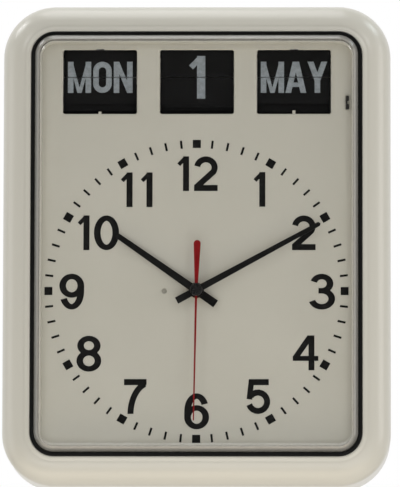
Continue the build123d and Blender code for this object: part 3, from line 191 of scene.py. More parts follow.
class ClockPrintSizes(PropertyGroup):
    """Sizes of what is printed on the dial and on the cards."""

    ink: length("Ink", "Thickness of the print on the dial", 0.1)
    card_ink: length("Card ink", "Thickness of the letters on the cards", 0.015)
    numeral: length("Numeral height", "Height of the dial's numerals", 29.1)
    stroke: length("Numeral stroke", "Width of a numeral's stroke", 5.05)
    track: length("Track radius", "Radius of the ring of minute marks", 123.4)
    block: length("Hour mark", "Side of the square mark at each hour", 6.8)
    tick: length("Minute mark", "Width of the line at each minute", 1.85)
    word: length("Letter height", "Height of the letters on the day and month cards", 26.3)
    word_stroke: length("Letter stroke", "Width of a letter's stroke", 4.65)
    figure: length("Figure height", "Height of the figures on the date cards", 36)
    figure_stroke: length("Figure stroke", "Width of a date figure's stroke", 6.9)


class ClockPartSizes(PropertyGroup):
    """Sizes of the repeated hardware."""

    screw_head: length("Screw head", "Radius of a screw's head", 3)
    screw_shank: length("Screw shank", "Radius of a screw's shank", 1.5)
    screw_reach: length("Screw length", "Length of a screw's shank", 8)
    wire: length("Wire", "Thickness of the coil's wire", 0.24)
    turns: IntProperty(name="Turns", description="Turns of wire from end to end of the coil",
                       default=72, min=8)


class ClockColours(PropertyGroup):
    """Main colours of the clock."""

    case: colour("Case", "Moulded case", 194, 191, 180)
    dial: colour("Dial", "Painted dial plate", 188, 185, 173)
    ink: colour("Ink", "Numerals and minute marks", 12, 12, 11)
    hands: colour("Hands", "Hour and minute hands", 12, 12, 11)
    seconds: colour("Second hand", "Second hand", 122, 1, 4)
    gasket: colour("Gasket", "Rubber gasket", 12, 12, 11)
    cards: colour("Cards", "Flip cards", 15, 15, 15)
    letters: colour("Letters", "Print on the flip cards", 136, 143, 147)
    back: colour("Back", "Rear cover", 206, 203, 194)


class ClockStudio(PropertyGroup):
    """Where the picture is taken from, and how bright the studio is."""

    distance: length("Distance", "From the target to the camera", 5278)
    elevation: angle("Elevation", "Angle of the camera above the target", -6.2)
    azimuth: angle("Azimuth", "Angle of the camera to the right of the dial's axis", 1.13)
    roll: angle("Roll", "Turn of the camera about its view", 0.126)
    lens: FloatProperty(name="Lens", description="Focal length in millimetres", default=570.1)
    ambient: FloatProperty(name="Ambient", description="Brightness of the light from all round",
                           default=0.42, min=0)


# Meshes

def add_object(name, data):
    """Adds an object with a mesh, a lamp or a camera to the scene."""
    item = bpy.data.objects.new(name, data)
    bpy.context.scene.collection.objects.link(item)
    return item


def new_piece(mesh, slot, node=None, body="root", finish=None):
    """Adds a mesh as a piece that rides on a body, and stands for a CAD node if one is named. A mesh
    without a finish gets the one named, or the slot's own."""
    piece = add_object(mesh.name, mesh)
    if not mesh.materials:
        mesh.materials.append(finish_of(finish or slot))
    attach(piece, body)
    if node:
        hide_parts(node)


def smooth(mesh):
    """Shades a mesh smooth, but for its sharper corners."""
    mesh.shade_smooth()
    mesh.set_sharp_from_angle(angle=radians(32))
    return mesh


def mesh_from(bm, name):
    """Turns a bmesh into a clean mesh whose faces point outwards."""
    bmesh.ops.remove_doubles(bm, verts=bm.verts, dist=1e-7)
    bmesh.ops.recalc_face_normals(bm, faces=bm.faces)
    mesh = bpy.data.meshes.new(name)
    bm.to_mesh(mesh)
    bm.free()
    return smooth(mesh)


def baked(item):
    """Plain mesh of an object with its modifiers applied. The object loses them."""
    bpy.context.view_layer.update()
    mesh = bpy.data.meshes.new_from_object(item.evaluated_get(bpy.context.evaluated_depsgraph_get()))
    item.modifiers.clear()
    return mesh


def ring(outline, depth, steps=20):
    """Points round an outline about the case's middle, at a depth in front of the wall."""
    width, height, corner = outline
    points = []
    for side, rise, start in ((1, -1, -90), (1, 1, 0), (-1, 1, 90), (-1, -1, 180)):
        x = side * (width / 2 - corner)
        z = CASE_MIDDLE + rise * (height / 2 - corner)
        for step in range(steps + 1):
            turn = radians(start + 90 * step / steps)
            points.append((x + corner * cos(turn), -depth, z + corner * sin(turn)))
    return points


def front_view(node, corner):
    """Outline of a CAD piece with a corner radius, and the depths of its back and its front."""
    low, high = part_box(node)
    return (high.x - low.x, high.z - low.z, corner), -high.y, -low.y


def offset(outline, by):
    """Outline of width, height and corner radius, an even distance outside another."""
    width, height, corner = outline
    return width + 2 * by, height + 2 * by, corner + by


def rounded(outline, depth, radius, first, last, steps):
    """Outlines and depths along a quarter round that has an outline at a depth as its outermost.
    A turn of 0 is the outermost, and 90 the one furthest forward."""
    turns = [radians(first + (last - first) * step / steps) for step in range(steps + 1)]
    return [(offset(outline, -radius * (1 - cos(turn))), depth + radius * sin(turn)) for turn in turns]


def rolled_rim(opening, front, radius, *turns):
    """Outlines and depths that round the front rim of an opening, at the given turns."""
    turns = [radians(turn) for turn in turns]
    return [(offset(opening, radius * (1 - cos(turn))), front - radius + radius * sin(turn))
            for turn in turns]


def skin(bm, rows, closed):
    """Faces from each row of corners to the next. A row may be a single point."""
    steps = max(len(row) for row in rows)
    pairs = list(zip(rows, rows[1:]))
    if closed:
        pairs.append((rows[-1], rows[0]))
    for one, other in pairs:
        for i in range(steps):
            j = i + 1
            corners = [row[k % len(row)] for row, k in ((one, i), (one, j), (other, j), (other, i))]
            corners = list(dict.fromkeys(corners))
            if len(corners) > 2:
                bm.faces.new(corners)


def loft(name, sections, capped=False):
    """Skin over a row of outlines and depths, which closes on itself or ends in two flat caps."""
    bm = bmesh.new()
    rows = [[bm.verts.new(point) for point in ring(*section)] for section in sections]
    skin(bm, rows, not capped)
    if capped:
        bm.faces.new(rows[0])
        bm.faces.new(rows[-1])
    return mesh_from(bm, name)


def lathe(name, profile, steps=32, closed=False):
    """Solid of revolution about Y from points of radius and depth."""
    bm = bmesh.new()
    rows = []
    for radius, depth in profile:
        turns = [tau * i / steps for i in range(steps if radius else 1)]
        rows.append([bm.verts.new((radius * cos(turn), -depth, radius * sin(turn))) for turn in turns])
    skin(bm, rows, closed)
    return mesh_from(bm, name)


# Lettering

def arc(x, y, across, up, start, end, steps=16):
    """Points along an ellipse between two angles."""
    turns = [radians(start + (end - start) * step / steps) for step in range(steps + 1)]
    return [(x + across * cos(turn), y + up * sin(turn)) for turn in turns]


def stroke_quads(points, width, closed=False):
    """Quads of one pen stroke, mitred where it turns."""
    count = len(points)
    normals = []
    for i in range(count if closed else count - 1):
        one, other = Vector(points[i]), Vector(points[(i + 1) % count])
        along = (other - one).normalized()
        normals.append(Vector((-along.y, along.x)))
    offsets = []
    for i in range(count):
        before = normals[i - 1] if closed or i > 0 else normals[0]
        after = normals[i % len(normals)] if closed or i < count - 1 else normals[-1]
        offsets.append((before + after) * (width / 2 / (1 + before.dot(after))))
    quads = []
    for i in range(len(normals)):
        j = (i + 1) % count
        one, other = Vector(points[i]), Vector(points[j])
        quads.append([one + offsets[i], one - offsets[i], other - offsets[j], other + offsets[j]])
    return quads


def cut(polygon, level, keep_above):
    """Part of a convex polygon above or below a level."""
    side = 1 if keep_above else -1
    kept = []
    for i, point in enumerate(polygon):
        last = polygon[i - 1]
        inside, was_inside = side * (point.y - level) >= 0, side * (last.y - level) >= 0
        if inside != was_inside:
            kept.append(last.lerp(point, (level - last.y) / (point.y - last.y)))
        if inside:
            kept.append(point)
    return kept


def sign_strokes(sign, w, h, s):
    """Pen strokes of a figure or letter of a width, height and stroke, each as the points of its
    centre line, the pen's width, and whether it closes on itself. l, r, b, t and m are the left,
    right, bottom, top and middle of the centre line. Strokes that should end level run over the
    top or bottom, where the line of text is cut."""
    l, r, b, t, m = s / 2, w - s / 2, s / 2, h - s / 2, w / 2
    reach = r - m
    up, low = 0.235 * (h - s), 0.265 * (h - s)
    hook = 0.235 * h
    bowl = 0.335 * h - 0.5 * s
    over = 3 * s

    def line(x, y, to_x, to_y, pen=1):
        return [(x, y), (to_x, to_y)], pen * s, False

    def stem(x, pen=1):
        return line(x, -over, x, h + over, pen)

    def bar(y, pen=1):
        return line(0, y, w, y, pen)

    def curve(points, closed=False):
        return points, s, closed

    def loop(y, across, up):
        return curve(arc(m, y, across, up, 0, 352, 44), True)

    signs = {
        "0": [loop(h / 2, reach, h / 2 - s / 2)],
        "1": [stem(r), line(r - 1.22 * s, h - 1.4 * s, r + 0.1 * s, h - 0.02 * s, 0.66)],
        "2": [curve(arc(m, t - hook, reach, hook, 172, -32) + [(l - 0.16 * s, b + 0.11 * s)]), bar(b)],
        "3": [curve(arc(m - 0.03 * w, t - up, reach - 0.04 * w, up, 165, -90)
                    + [(m - 0.16 * w, t - 2 * up)]),
              curve([(m - 0.16 * w, b + 2 * low)]
                    + arc(m - 0.03 * w, b + low, reach + 0.03 * w, low, 90, -165))],
        "4": [stem(0.73 * w, 0.98), bar(0.34 * h, 0.82),
              line(0.73 * w, 1.02 * h, 0.36 * s, 0.34 * h, 0.95)],
        "5": [line(0.94 * w, t, 0.2 * w, t), line(0.24 * w, h, 0.15 * w, 0.42 * h, 0.92),
              curve(arc(m, b + 0.265 * h, reach, 0.265 * h, 141, -162))],
        "6": [loop(b + bowl, reach, bowl), line(l, b + bowl, l, 0.5 * h),
              curve(arc(m, 0.5 * h, reach, h / 2 - s / 2, 183, 28))],
        "7": [bar(t), curve(arc(1.13 * w, -0.02 * h, 0.84 * w, 0.9 * h, 184, 104))],
        "8": [loop(t - up, reach - 0.03 * w, up), loop(b + low, reach, low)],
        "M": [stem(l), stem(r), *(line(x, h + 0.1 * s, m, -0.04 * h, 0.62) for x in (l, r))],
        "N": [stem(l), stem(r), line(l - 0.1 * s, h + 0.3 * s, r + 0.1 * s, -0.3 * s, 0.82)],
        "O": [curve(arc(m, t - reach, reach, reach, 0, 180)
                    + arc(m, b + reach, reach, reach, 180, 360), True)],
        "A": [*(line(x, -0.3 * over, m, h + 0.25 * s) for x in (0.35 * l, w - 0.35 * l)),
              line(0.24 * w, 0.26 * h, 0.76 * w, 0.26 * h, 0.8)],
        "Y": [*(line(x, h + s, m, 0.4 * h) for x in (0.3 * l, w - 0.3 * l)),
              line(m, -over, m, 0.46 * h)],
        "T": [bar(t, 0.95), line(m, -over, m, h)],
        "U": [curve([(l, h + over)] + arc(m, b + reach, reach, reach, 180, 360) + [(r, h + over)])],
        "E": [stem(l), bar(t, 0.9), line(0, 0.51 * h, 0.92 * w, 0.51 * h, 0.86), bar(b, 0.9)],
        "J": [curve([(r, h + over)] + arc(m, b + reach, reach, reach, 360, 190))],
    }
    if sign == "9":
        turned = sign_strokes("6", w, h, s)
        return [([(w - x, h - y) for x, y in points], pen, closed) for points, pen, closed in turned]
    return signs[sign]


def text_quads(text, height, stroke, gap, low=-inf, high=inf):
    """Convex polygons of a line of text, centred on the origin, between two levels."""
    widths = [SIGN_WIDTHS[sign] * height for sign in text]
    x = -(sum(widths) + gap * (len(text) - 1)) / 2
    low, high = max(low, -height / 2), min(high, height / 2)
    polygons = []
    for sign, width in zip(text, widths):
        spread = PEN_SPREAD if sign in WIDE_PEN_SIGNS else 1
        for points, pen, closed in sign_strokes(sign, width / spread, height, stroke / sqrt(spread)):
            for quad in stroke_quads(points, pen, closed):
                moved = [Vector((p.x * spread + x, p.y - height / 2)) for p in quad]
                moved = cut(cut(moved, low, True), high, False)
                if len(moved) > 2:
                    polygons.append(moved)
        x += width + gap
    return polygons


def print_mesh(name, polygons, place, thickness):
    """Thin solid over the union of flat polygons. place gives the spot on the clock of a point of
    the text and a height above the printed surface."""
    points, faces = [], []
    for polygon in polygons:
        area = sum(a.x * b.y - b.x * a.y for a, b in zip(polygon, polygon[1:] + polygon[:1]))
        if abs(area) < 1e-12:
            continue
        order = polygon if area > 0 else polygon[::-1]
        faces.append(list(range(len(points), len(points) + len(order))))
        points += order
    found = delaunay_2d_cdt(points, [], faces, 0, 1e-7)
    corners, triangles, sources = found[0], found[2], found[5]
    inside = [triangle for triangle, source in zip(triangles, sources) if source]
    bm = bmesh.new()
    used = sorted({corner for triangle in inside for corner in triangle})
    top = {c: bm.verts.new(place(corners[c], thickness)) for c in used}
    bottom = {c: bm.verts.new(place(corners[c], 0)) for c in used}
    edges = {}
    for triangle in inside:
        bm.faces.new([top[c] for c in triangle])
        bm.faces.new([bottom[c] for c in reversed(triangle)])
        edges.update(dict.fromkeys(zip(triangle, triangle[1:] + triangle[:1])))
    for a, b in edges:
        if (b, a) not in edges:
            bm.faces.new((top[b], top[a], bottom[a], bottom[b]))
    return mesh_from(bm, name)


# Node trees

def add(tree, kind, links=None, **values):
    """Adds a node. links feeds its inputs by name or number, and values sets its own settings."""
    node = tree.nodes.new(kind)
    for key, value in values.items():
        setattr(node, key, value)
    for key, source in (links or {}).items():
        if hasattr(source, "is_output"):
            tree.links.new(source, node.inputs[key])
        else:
            node.inputs[key].default_value = source
    return node


def calculate(tree, operation, *values):
    """Adds a sum of one or two values, and gives its result."""
    return add(tree, "ShaderNodeMath", dict(enumerate(values)), operation=operation).outputs[0]


def map_range(tree, value, start, end, low, high, kind="LINEAR"):
    """Goes from low to high as a value goes from start to end."""
    links = {"Value": value, "From Min": start, "From Max": end, "To Min": low, "To Max": high}
    return add(tree, "ShaderNodeMapRange", links, interpolation_type=kind).outputs[0]


def node_tree(name, inputs):
    """Geometry tree with named inputs. Gives the tree, its inputs' sockets and its end."""
    tree = bpy.data.node_groups.new(name, "GeometryNodeTree")
    tree.interface.new_socket("Geometry", in_out="INPUT", socket_type="NodeSocketGeometry")
    tree.interface.new_socket("Geometry", in_out="OUTPUT", socket_type="NodeSocketGeometry")
    for label, kind in inputs.items():
        tree.interface.new_socket(label, in_out="INPUT", socket_type="NodeSocket" + kind)
    return tree, tree.nodes.new("NodeGroupInput").outputs, tree.nodes.new("NodeGroupOutput")


def finish_tree(tree, geometry, given, end):
    """Makes real meshes of a tree's instances and gives them their finish."""
    real = add(tree, "GeometryNodeRealizeInstances", {0: geometry})
    links = {"Geometry": real.outputs[0], "Material": given["Finish"]}
    tree.links.new(add(tree, "GeometryNodeSetMaterial", links).outputs[0], end.inputs[0])
    return tree


def turn_and_move(tree, geometry, turn, given):
    """Turns a tree's geometry and puts it at the centre that its input gives."""
    turned = add(tree, "GeometryNodeTransform", {"Geometry": geometry, "Rotation": turn})
    links = {"Geometry": turned.outputs[0], "Translation": given["Centre"]}
    return add(tree, "GeometryNodeTransform", links).outputs[0]


def grow(name, tree, slot, settings, points=((0, 0, 0),)):
    """Runs a tree on loose points, and gives the result as a plain mesh with a slot's finish."""
    base = bpy.data.meshes.new(name)
    base.from_pydata(points, [], [])
    carrier = add_object(name, base)
    modifier = carrier.modifiers.new(tree.name, "NODES")
    modifier.node_group = tree
    sockets = {item.name: item.identifier for item in tree.interface.items_tree
               if item.in_out == "INPUT"}
    for label, value in {**settings, "Finish": finish_of(slot)}.items():
        modifier[sockets[label]] = value
    mesh = baked(carrier)
    bpy.data.objects.remove(carrier)
    bpy.data.meshes.remove(base)
    mesh.name = name
    return smooth(mesh)


def scatter_tree():
    """Sets a template on every point, each turned about Y by its own random angle."""
    tree, given, end = node_tree("Set on points", {"Template": "Object", "Most turn": "Float",
                                                   "Seed": "Int", "Finish": "Material"})
    template = add(tree, "GeometryNodeObjectInfo", {"Object": given["Template"]})
    turn = add(tree, "FunctionNodeRandomValue", {3: given["Most turn"], "Seed": given["Seed"]},
               data_type="FLOAT")
    angles = add(tree, "ShaderNodeCombineXYZ", {"Y": turn.outputs[1]})
    placed = add(tree, "GeometryNodeInstanceOnPoints",
                 {"Points": given["Geometry"], "Instance": template.outputs["Geometry"],
                  "Rotation": angles.outputs[0]})
    return finish_tree(tree, placed.outputs[0], given, end)


def set_on_points(name, slot, points, template, most_turn=0.0, seed=1, node=None):
    """Makes one piece of a template on every point, and removes the template."""
    settings = {"Template": template, "Most turn": most_turn, "Seed": seed}
    mesh = grow(name, scatter_tree(), slot, settings, points)
    bpy.data.objects.remove(template)
    new_piece(mesh, slot, node)


def track_tree():
    """Sixty flat marks round the dial, wider at every fifth."""
    inputs = dict.fromkeys(("Radius", "Length", "Hour width", "Minute width", "Thickness"), "Float")
    tree, given, end = node_tree("Minute track", {**inputs, "Centre": "Vector", "Finish": "Material"})
    circle = add(tree, "GeometryNodeMeshCircle", {"Vertices": 60, "Radius": given["Radius"]})
    index = add(tree, "GeometryNodeInputIndex").outputs[0]
    is_hour = calculate(tree, "LESS_THAN", calculate(tree, "MODULO", index, 5), 0.5)
    is_minute = calculate(tree, "SUBTRACT", 1, is_hour)
    angles = add(tree, "ShaderNodeCombineXYZ", {"Z": calculate(tree, "MULTIPLY", index, tau / 60)})
    wide = calculate(tree, "MULTIPLY", is_hour, given["Hour width"])
    narrow = calculate(tree, "MULTIPLY", is_minute, given["Minute width"])
    width = calculate(tree, "ADD", wide, narrow)
    size = add(tree, "ShaderNodeCombineXYZ", {"X": given["Length"], "Y": width, "Z": given["Thickness"]})
    mark = add(tree, "GeometryNodeMeshCube", {"Size": (1, 1, 1)})
    placed = add(tree, "GeometryNodeInstanceOnPoints",
                 {"Points": circle.outputs[0], "Instance": mark.outputs[0], "Rotation": angles.outputs[0],
                  "Scale": size.outputs[0]})
    upright = turn_and_move(tree, placed.outputs[0], (pi / 2, 0, 0), given)
    return finish_tree(tree, upright, given, end)


def winding_tree():
    """Wire wound closely along X."""
    inputs = dict.fromkeys(("Radius", "Length", "Turns", "Wire"), "Float")
    tree, given, end = node_tree("Winding", {**inputs, "Centre": "Vector", "Finish": "Material"})
    spiral = add(tree, "GeometryNodeCurveSpiral",
                 {"Resolution": 20, "Rotations": given["Turns"], "Start Radius": given["Radius"],
                  "End Radius": given["Radius"], "Height": given["Length"]})
    half_wire = calculate(tree, "MULTIPLY", given["Wire"], 0.5)
    section = add(tree, "GeometryNodeCurvePrimitiveCircle", {"Resolution": 6, "Radius": half_wire})
    wire = add(tree, "GeometryNodeCurveToMesh",
               {"Curve": spiral.outputs[0], "Profile Curve": section.outputs[0], "Fill Caps": True})
    lying = turn_and_move(tree, wire.outputs[0], (0, pi / 2, 0), given)
    return finish_tree(tree, lying, given, end)


# Finishes

class Finish:
    """A material under construction, with its shader and the object's coordinates."""

    def __init__(self, name):
        material = bpy.data.materials.new(name + FINISH_SUFFIX)
        material.use_nodes = True
        self.tree = material.node_tree
        self.shader = self.tree.nodes["Principled BSDF"]
        self.place = self.node("ShaderNodeTexCoord").outputs["Object"]

    def node(self, kind, links=None, **values):
        return add(self.tree, kind, links, **values)

    def set(self, **values):
        """Sets or links inputs of the shader, with underscores for spaces in their names."""
        for label, value in values.items():
            socket = self.shader.inputs[label.replace("_", " ")]
            if hasattr(value, "is_output"):
                self.tree.links.new(value, socket)
            else:
                socket.default_value = value

    def noise(self, scale, detail=3, place=None):
        links = {"Vector": place or self.place, "Scale": scale, "Detail": detail}
        return self.node("ShaderNodeTexNoise", links).outputs[0]

    def mix(self, share, low, high):
        """Colour between two others."""
        links = {0: share, 6: (*low, 1), 7: (*high, 1)}
        return self.node("ShaderNodeMix", links, data_type="RGBA").outputs[2]

    def between(self, factor, low, high):
        """Colours or numbers from low to high as a noise goes from 0.3 to 0.7."""
        if isinstance(low, (int, float)):
            return map_range(self.tree, factor, 0.3, 0.7, low, high, "SMOOTHSTEP")
        ramp = self.node("ShaderNodeValToRGB", {"Fac": factor})
        ramp.color_ramp.interpolation = "EASE"
        for element, position, value in zip(ramp.color_ramp.elements, (0.3, 0.7), (low, high)):
            element.position = position
            element.color = (*value, 1)
        return ramp.outputs[0]

    def shades(self, factor, value, spread):
        """Darker and lighter shades of a colour as a noise rises."""
        ends = [[min(1, part * (1 + amount)) for part in value] for amount in (-spread, spread)]
        return self.between(factor, *ends)

    def bump(self, height, depth):
        return self.node("ShaderNodeBump", {"Height": height, "Distance": depth}).outputs[0]


def moulded(name, value, roughness, spread, patch, grain, depth, shine=0.5):
    """Plastic, paint or rubber: soft patches of colour and gloss over a fine grain."""
    finish = Finish(name)
    patches = finish.noise(patch, 4)
    finish.set(Base_Color=finish.shades(patches, value, spread),
               Roughness=finish.between(patches, roughness * 0.88, roughness * 1.12),
               Normal=finish.bump(finish.noise(grain, 2), depth), Specular_IOR_Level=shine)


def metal(name, value, roughness, stretch):
    """Metal with fine lines left by brushing or turning."""
    finish = Finish(name)
    stretched = finish.node("ShaderNodeMapping", {"Vector": finish.place, "Scale": stretch}).outputs[0]
    lines = finish.noise(1, 3, stretched)
    finish.set(Base_Color=finish.shades(lines, value, 0.12), Metallic=1,
               Roughness=finish.between(lines, roughness * 0.75, roughness * 1.25),
               Normal=finish.bump(lines, 1e-5))


def glossy_case(name, value):
    """Moulded case: an even gloss with the faintest patches of colour and a fine grain."""
    finish = Finish(name)
    patches = finish.noise(6, 1)
    finish.set(Base_Color=finish.shades(patches, value, 0.006), IOR=PLASTIC_IOR,
               Roughness=finish.between(patches, 0.275, 0.28),
               Normal=finish.bump(finish.noise(2600, 2), 3e-6))


def depth_inside(finish, node, corner):
    """Distance from the outline of a rounded CAD piece, seen from the front, up to its corner radius."""
    low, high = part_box(node)
    middle, reach = (low + high) / 2, (high - low) / 2
    steps = (("MULTIPLY_ADD", {0: finish.place, 1: (1, 0, 1), 2: (-middle.x, 0, -middle.z)}),
             ("ABSOLUTE", {}),
             ("SUBTRACT", {1: (reach.x - corner, 0, reach.z - corner)}),
             ("MAXIMUM", {1: (0, 0, 0)}),
             ("LENGTH", {}))
    value = None
    for operation, links in steps:
        if value is not None:
            links[0] = value
        vector = finish.node("ShaderNodeVectorMath", links, operation=operation)
        value = vector.outputs["Value" if operation == "LENGTH" else "Vector"]
    return calculate(finish.tree, "SUBTRACT", corner, value)


def clear_plastic(name):
    """Clear lens that lets light reach the dial behind it. Its shoulder has painted shade: a dull grey,
    darker towards the outline, for the shade and refraction seen in the lens's rounded edge."""
    finish = Finish(name)
    tree = finish.tree
    smears = finish.noise(18, 4)
    finish.set(Base_Color=finish.between(smears, (0.985, 0.985, 0.975), (0.995, 0.995, 0.99)),
               Roughness=0.0, Transmission_Weight=1.0, IOR=PLASTIC_IOR)
    sizes = bpy.context.scene.clock_case
    inside = depth_inside(finish, "front_lens", sizes.gasket_corner - sizes.gasket)
    # Painted shade and refraction: the shoulder turns grey, dark at the outline and paler inwards
    painted_shade_share = map_range(tree, inside, 2.8 * MM, 5.6 * MM, 0.8, 0.0, "SMOOTHSTEP")
    painted_shade_fade = map_range(tree, inside, 0.6 * MM, 3.6 * MM, 0.0, 1.0)
    painted_shade_tone = finish.mix(painted_shade_fade, srgb(70, 69, 65), srgb(152, 149, 141))
    edge = finish.node("ShaderNodeBsdfPrincipled",
                       {"Base Color": painted_shade_tone, "Roughness": 0.18, "IOR": PLASTIC_IOR})
    body = finish.node("ShaderNodeMixShader", {0: painted_shade_share, 1: finish.shader.outputs[0], 2: edge.outputs[0]})
    path = finish.node("ShaderNodeLightPath").outputs
    through = calculate(tree, "MAXIMUM", path["Is Shadow Ray"], path["Is Diffuse Ray"])
    clear = finish.node("ShaderNodeBsdfTransparent")
    mixed = finish.node("ShaderNodeMixShader", {0: through, 1: body.outputs[0], 2: clear.outputs[0]})
    tree.links.new(mixed.outputs[0], tree.nodes["Material Output"].inputs["Surface"])


def card_print(name, value):
    """Silk-screened letters, a little thin and uneven."""
    finish = Finish(name)
    worn = finish.noise(420, 4)
    thin, full = [[part * share for part in value] for share in (0.84, 1.1)]
    finish.set(Base_Color=finish.between(worn, thin, full), Roughness=0.6,
               Normal=finish.bump(finish.noise(1800, 2), 1.5e-5))


def cell_wrapper(name):
    """Plain wrapped cell: a dark sleeve with a copper-coloured band at one end."""
    finish = Finish(name)
    along = finish.node("ShaderNodeSeparateXYZ", {0: finish.place}).outputs["X"]
    band = calculate(finish.tree, "GREATER_THAN", along, 12 * MM)
    grain = finish.noise(900, 2)
    finish.set(Base_Color=finish.mix(band, (0.012, 0.012, 0.014), (0.35, 0.15, 0.05)), Metallic=band,
               Roughness=finish.between(grain, 0.28, 0.36), Normal=finish.bump(grain, 8e-6))


def printed_board(name):
    """Green board with pale solder spots."""
    finish = Finish(name)
    cells = finish.node("ShaderNodeTexVoronoi", {"Vector": finish.place, "Scale": 420})
    spots = calculate(finish.tree, "LESS_THAN", cells.outputs["Distance"], 0.16)
    finish.set(Base_Color=finish.between(spots, (0.012, 0.09, 0.03), (0.55, 0.56, 0.54)),
               Roughness=finish.between(finish.noise(500), 0.3, 0.5), Normal=finish.bump(spots, 2e-5))


def make_finishes():
    """Every material of the clock, each named for the slot of the record that it stands for."""
    colours = bpy.context.scene.clock_colours
    glossy_case("ivory_case", colours.case)
    clear_plastic("clear_lens")
    card_print("card_print", colours.letters)
    cell_wrapper("cell_wrap")
    printed_board("board_green")
    # Slot, colour, roughness, spread of the colour, scale of its patches, scale and depth of the
    # grain, and the level of the gloss
    for row in (
            ("black_rubber", colours.gasket, 0.55, 0.2, 60, 3000, 2e-5, 0.15),
            ("grey_pin", srgb(150, 147, 136), 0.4, 0.05, 300, 2600, 8e-6),
            ("grey_dial", colours.dial, 0.62, 0.018, 9, 1900, 1.2e-5, 0.35),
            ("black_ink", colours.ink, 0.6, 0.12, 240, 2600, 8e-6, 0.15),
            ("dark_clip", srgb(44, 42, 40), 0.35, 0.1, 300, 2600, 2e-5),
            ("black_hand", colours.hands, 0.42, 0.12, 90, 2200, 8e-6, 0.2),
            ("red_hand", colours.seconds, 0.38, 0.08, 110, 2200, 8e-6, 0.2),
            ("black_cap", srgb(18, 18, 18), 0.3, 0.1, 300, 2600, 6e-6),
            ("black_chassis", srgb(28, 28, 29), 0.55, 0.08, 40, 1300, 3e-5),
            ("back_plastic", colours.back, 0.5, 0.02, 12, 1100, 6e-5),
            ("movement_plastic", srgb(58, 58, 60), 0.45, 0.06, 70, 1700, 2.5e-5),
            ("white_gear", srgb(214, 212, 204), 0.42, 0.04, 160, 2000, 1e-5),
            ("black_knob", srgb(26, 26, 26), 0.42, 0.1, 90, 1500, 3e-5),
            ("black_card", colours.cards, 0.6, 0.1, 60, 2400, 1e-5, 0.1)):
        moulded(*row)
    # Slot, colour, roughness, and scale of the lines along each axis
    for row in (
            ("brass", srgb(196, 160, 84), 0.3, (900, 900, 900)),
            ("zinc_screw", srgb(176, 176, 172), 0.32, (700, 700, 700)),
            ("spring_steel", srgb(188, 190, 190), 0.25, (40, 40, 1800)),
            ("copper_wire", srgb(186, 98, 52), 0.28, (300, 300, 300))):
        metal(*row)


def finish_of(slot):
    """Material that stands for a slot of the record. The imported one has the slot's plain name."""
    return bpy.data.materials[slot + FINISH_SUFFIX]


# Operators

class CLOCK_OT_finishes(Operator):
    """Make the finishes and put them on the CAD pieces that stay as they are"""

    bl_idname = "clock.finishes"
    bl_label = "Finishes"

    def execute(self, context):
        make_finishes()
        for row in frame["record"]["subparts"]:
            for slot in frame["nodes"][row["node"]].material_slots:
                slot.material = finish_of(row["material_slot"])
        return {"FINISHED"}


class CLOCK_OT_case(Operator):
    """Make the smooth moulded case with its lip and the collar that holds the dial"""

    bl_idname = "clock.case"
    bl_label = "Case"

    def execute(self, context):
        s = context.scene.clock_case
        outside, _, lip_front = front_view("case_shell", s.corner)
        (width, height, corner), ledge_front, _ = front_view("lens_gasket", s.gasket_corner)
        side = s.depth - s.edge
        lip_bend = 0.35 * s.lip
        ledge_back = ledge_front - s.skirt
        dial_front = -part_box("dial_plate")[0].y
        inside = offset(outside, -s.wall)
        seal = (width + FIT, height + FIT, corner)
        lip = offset(seal, s.lip)
        skirt = offset(seal, -s.ledge)
        collar = offset(skirt, s.skirt)
        shoulder = offset(seal, 3 * MM)
        sections = [(inside, 0), (offset(outside, -s.rim), 0), *rounded(outside, s.rim, s.rim, -80, 0, 5)]
        sections += [(outside, side - LAND), *rounded(outside, side, s.edge, 0, 90, 18)]
        sections += [(offset(outside, -s.edge - LAND), s.depth)]
        for step in range(LIP_STEPS + 1):
            share = step / LIP_STEPS
            rise = (lip_front - s.depth) * share * share * (3 - 2 * share)
            sections += [(offset(lip, LIP_SWELL * (1 - share) - lip_bend), s.depth + rise)]
        sections += rolled_rim(seal, lip_front, lip_bend, 70, 45, 20, 0)
        sections += [(seal, ledge_front), (skirt, ledge_front), (skirt, dial_front), (collar, dial_front)]
        sections += [(collar, ledge_back), (shoulder, ledge_back), (shoulder, s.depth - s.wall - LAND)]
        sections += rounded(inside, side, s.edge - s.wall, 70, 0, 10)
        new_piece(loft("moulded_case", sections), "ivory_case", "case_shell")
        return {"FINISHED"}


def screw_points(reach, middle=CASE_MIDDLE, y=0.0, rows=(-1, 0, 1)):
    """Points on both sides, at the given rows of height about a middle."""
    return [(side * reach[0], y, middle + row * reach[1]) for side in (-1, 1) for row in rows]


class CLOCK_OT_posts(Operator):
    """Make the screw posts inside the case"""

    bl_idname = "clock.posts"
    bl_label = "Screw posts"

    def execute(self, context):
        case, bore = context.scene.clock_case, context.scene.clock_parts.screw_shank
        hole, point = 12 * MM, 0.5 * MM
        # Name, distances from the middle, radius, and depths of the back and the front end
        for name, reach, radius, back, front in (
                ("cover_posts", COVER_POST, 6.5 * MM, 8 * MM, 60 * MM),
                ("chassis_posts", CHASSIS_POST, 4.5 * MM, 68.5 * MM, case.depth - case.wall)):
            profile = [(bore, back), (radius, back), (radius, front), (0, front),
                       (0, back + hole), (bore, back + hole - point)]
            template = add_object("post_template", lathe("post_template", profile, 24, closed=True))
            set_on_points(name, "ivory_case", screw_points(reach), template)
        return {"FINISHED"}


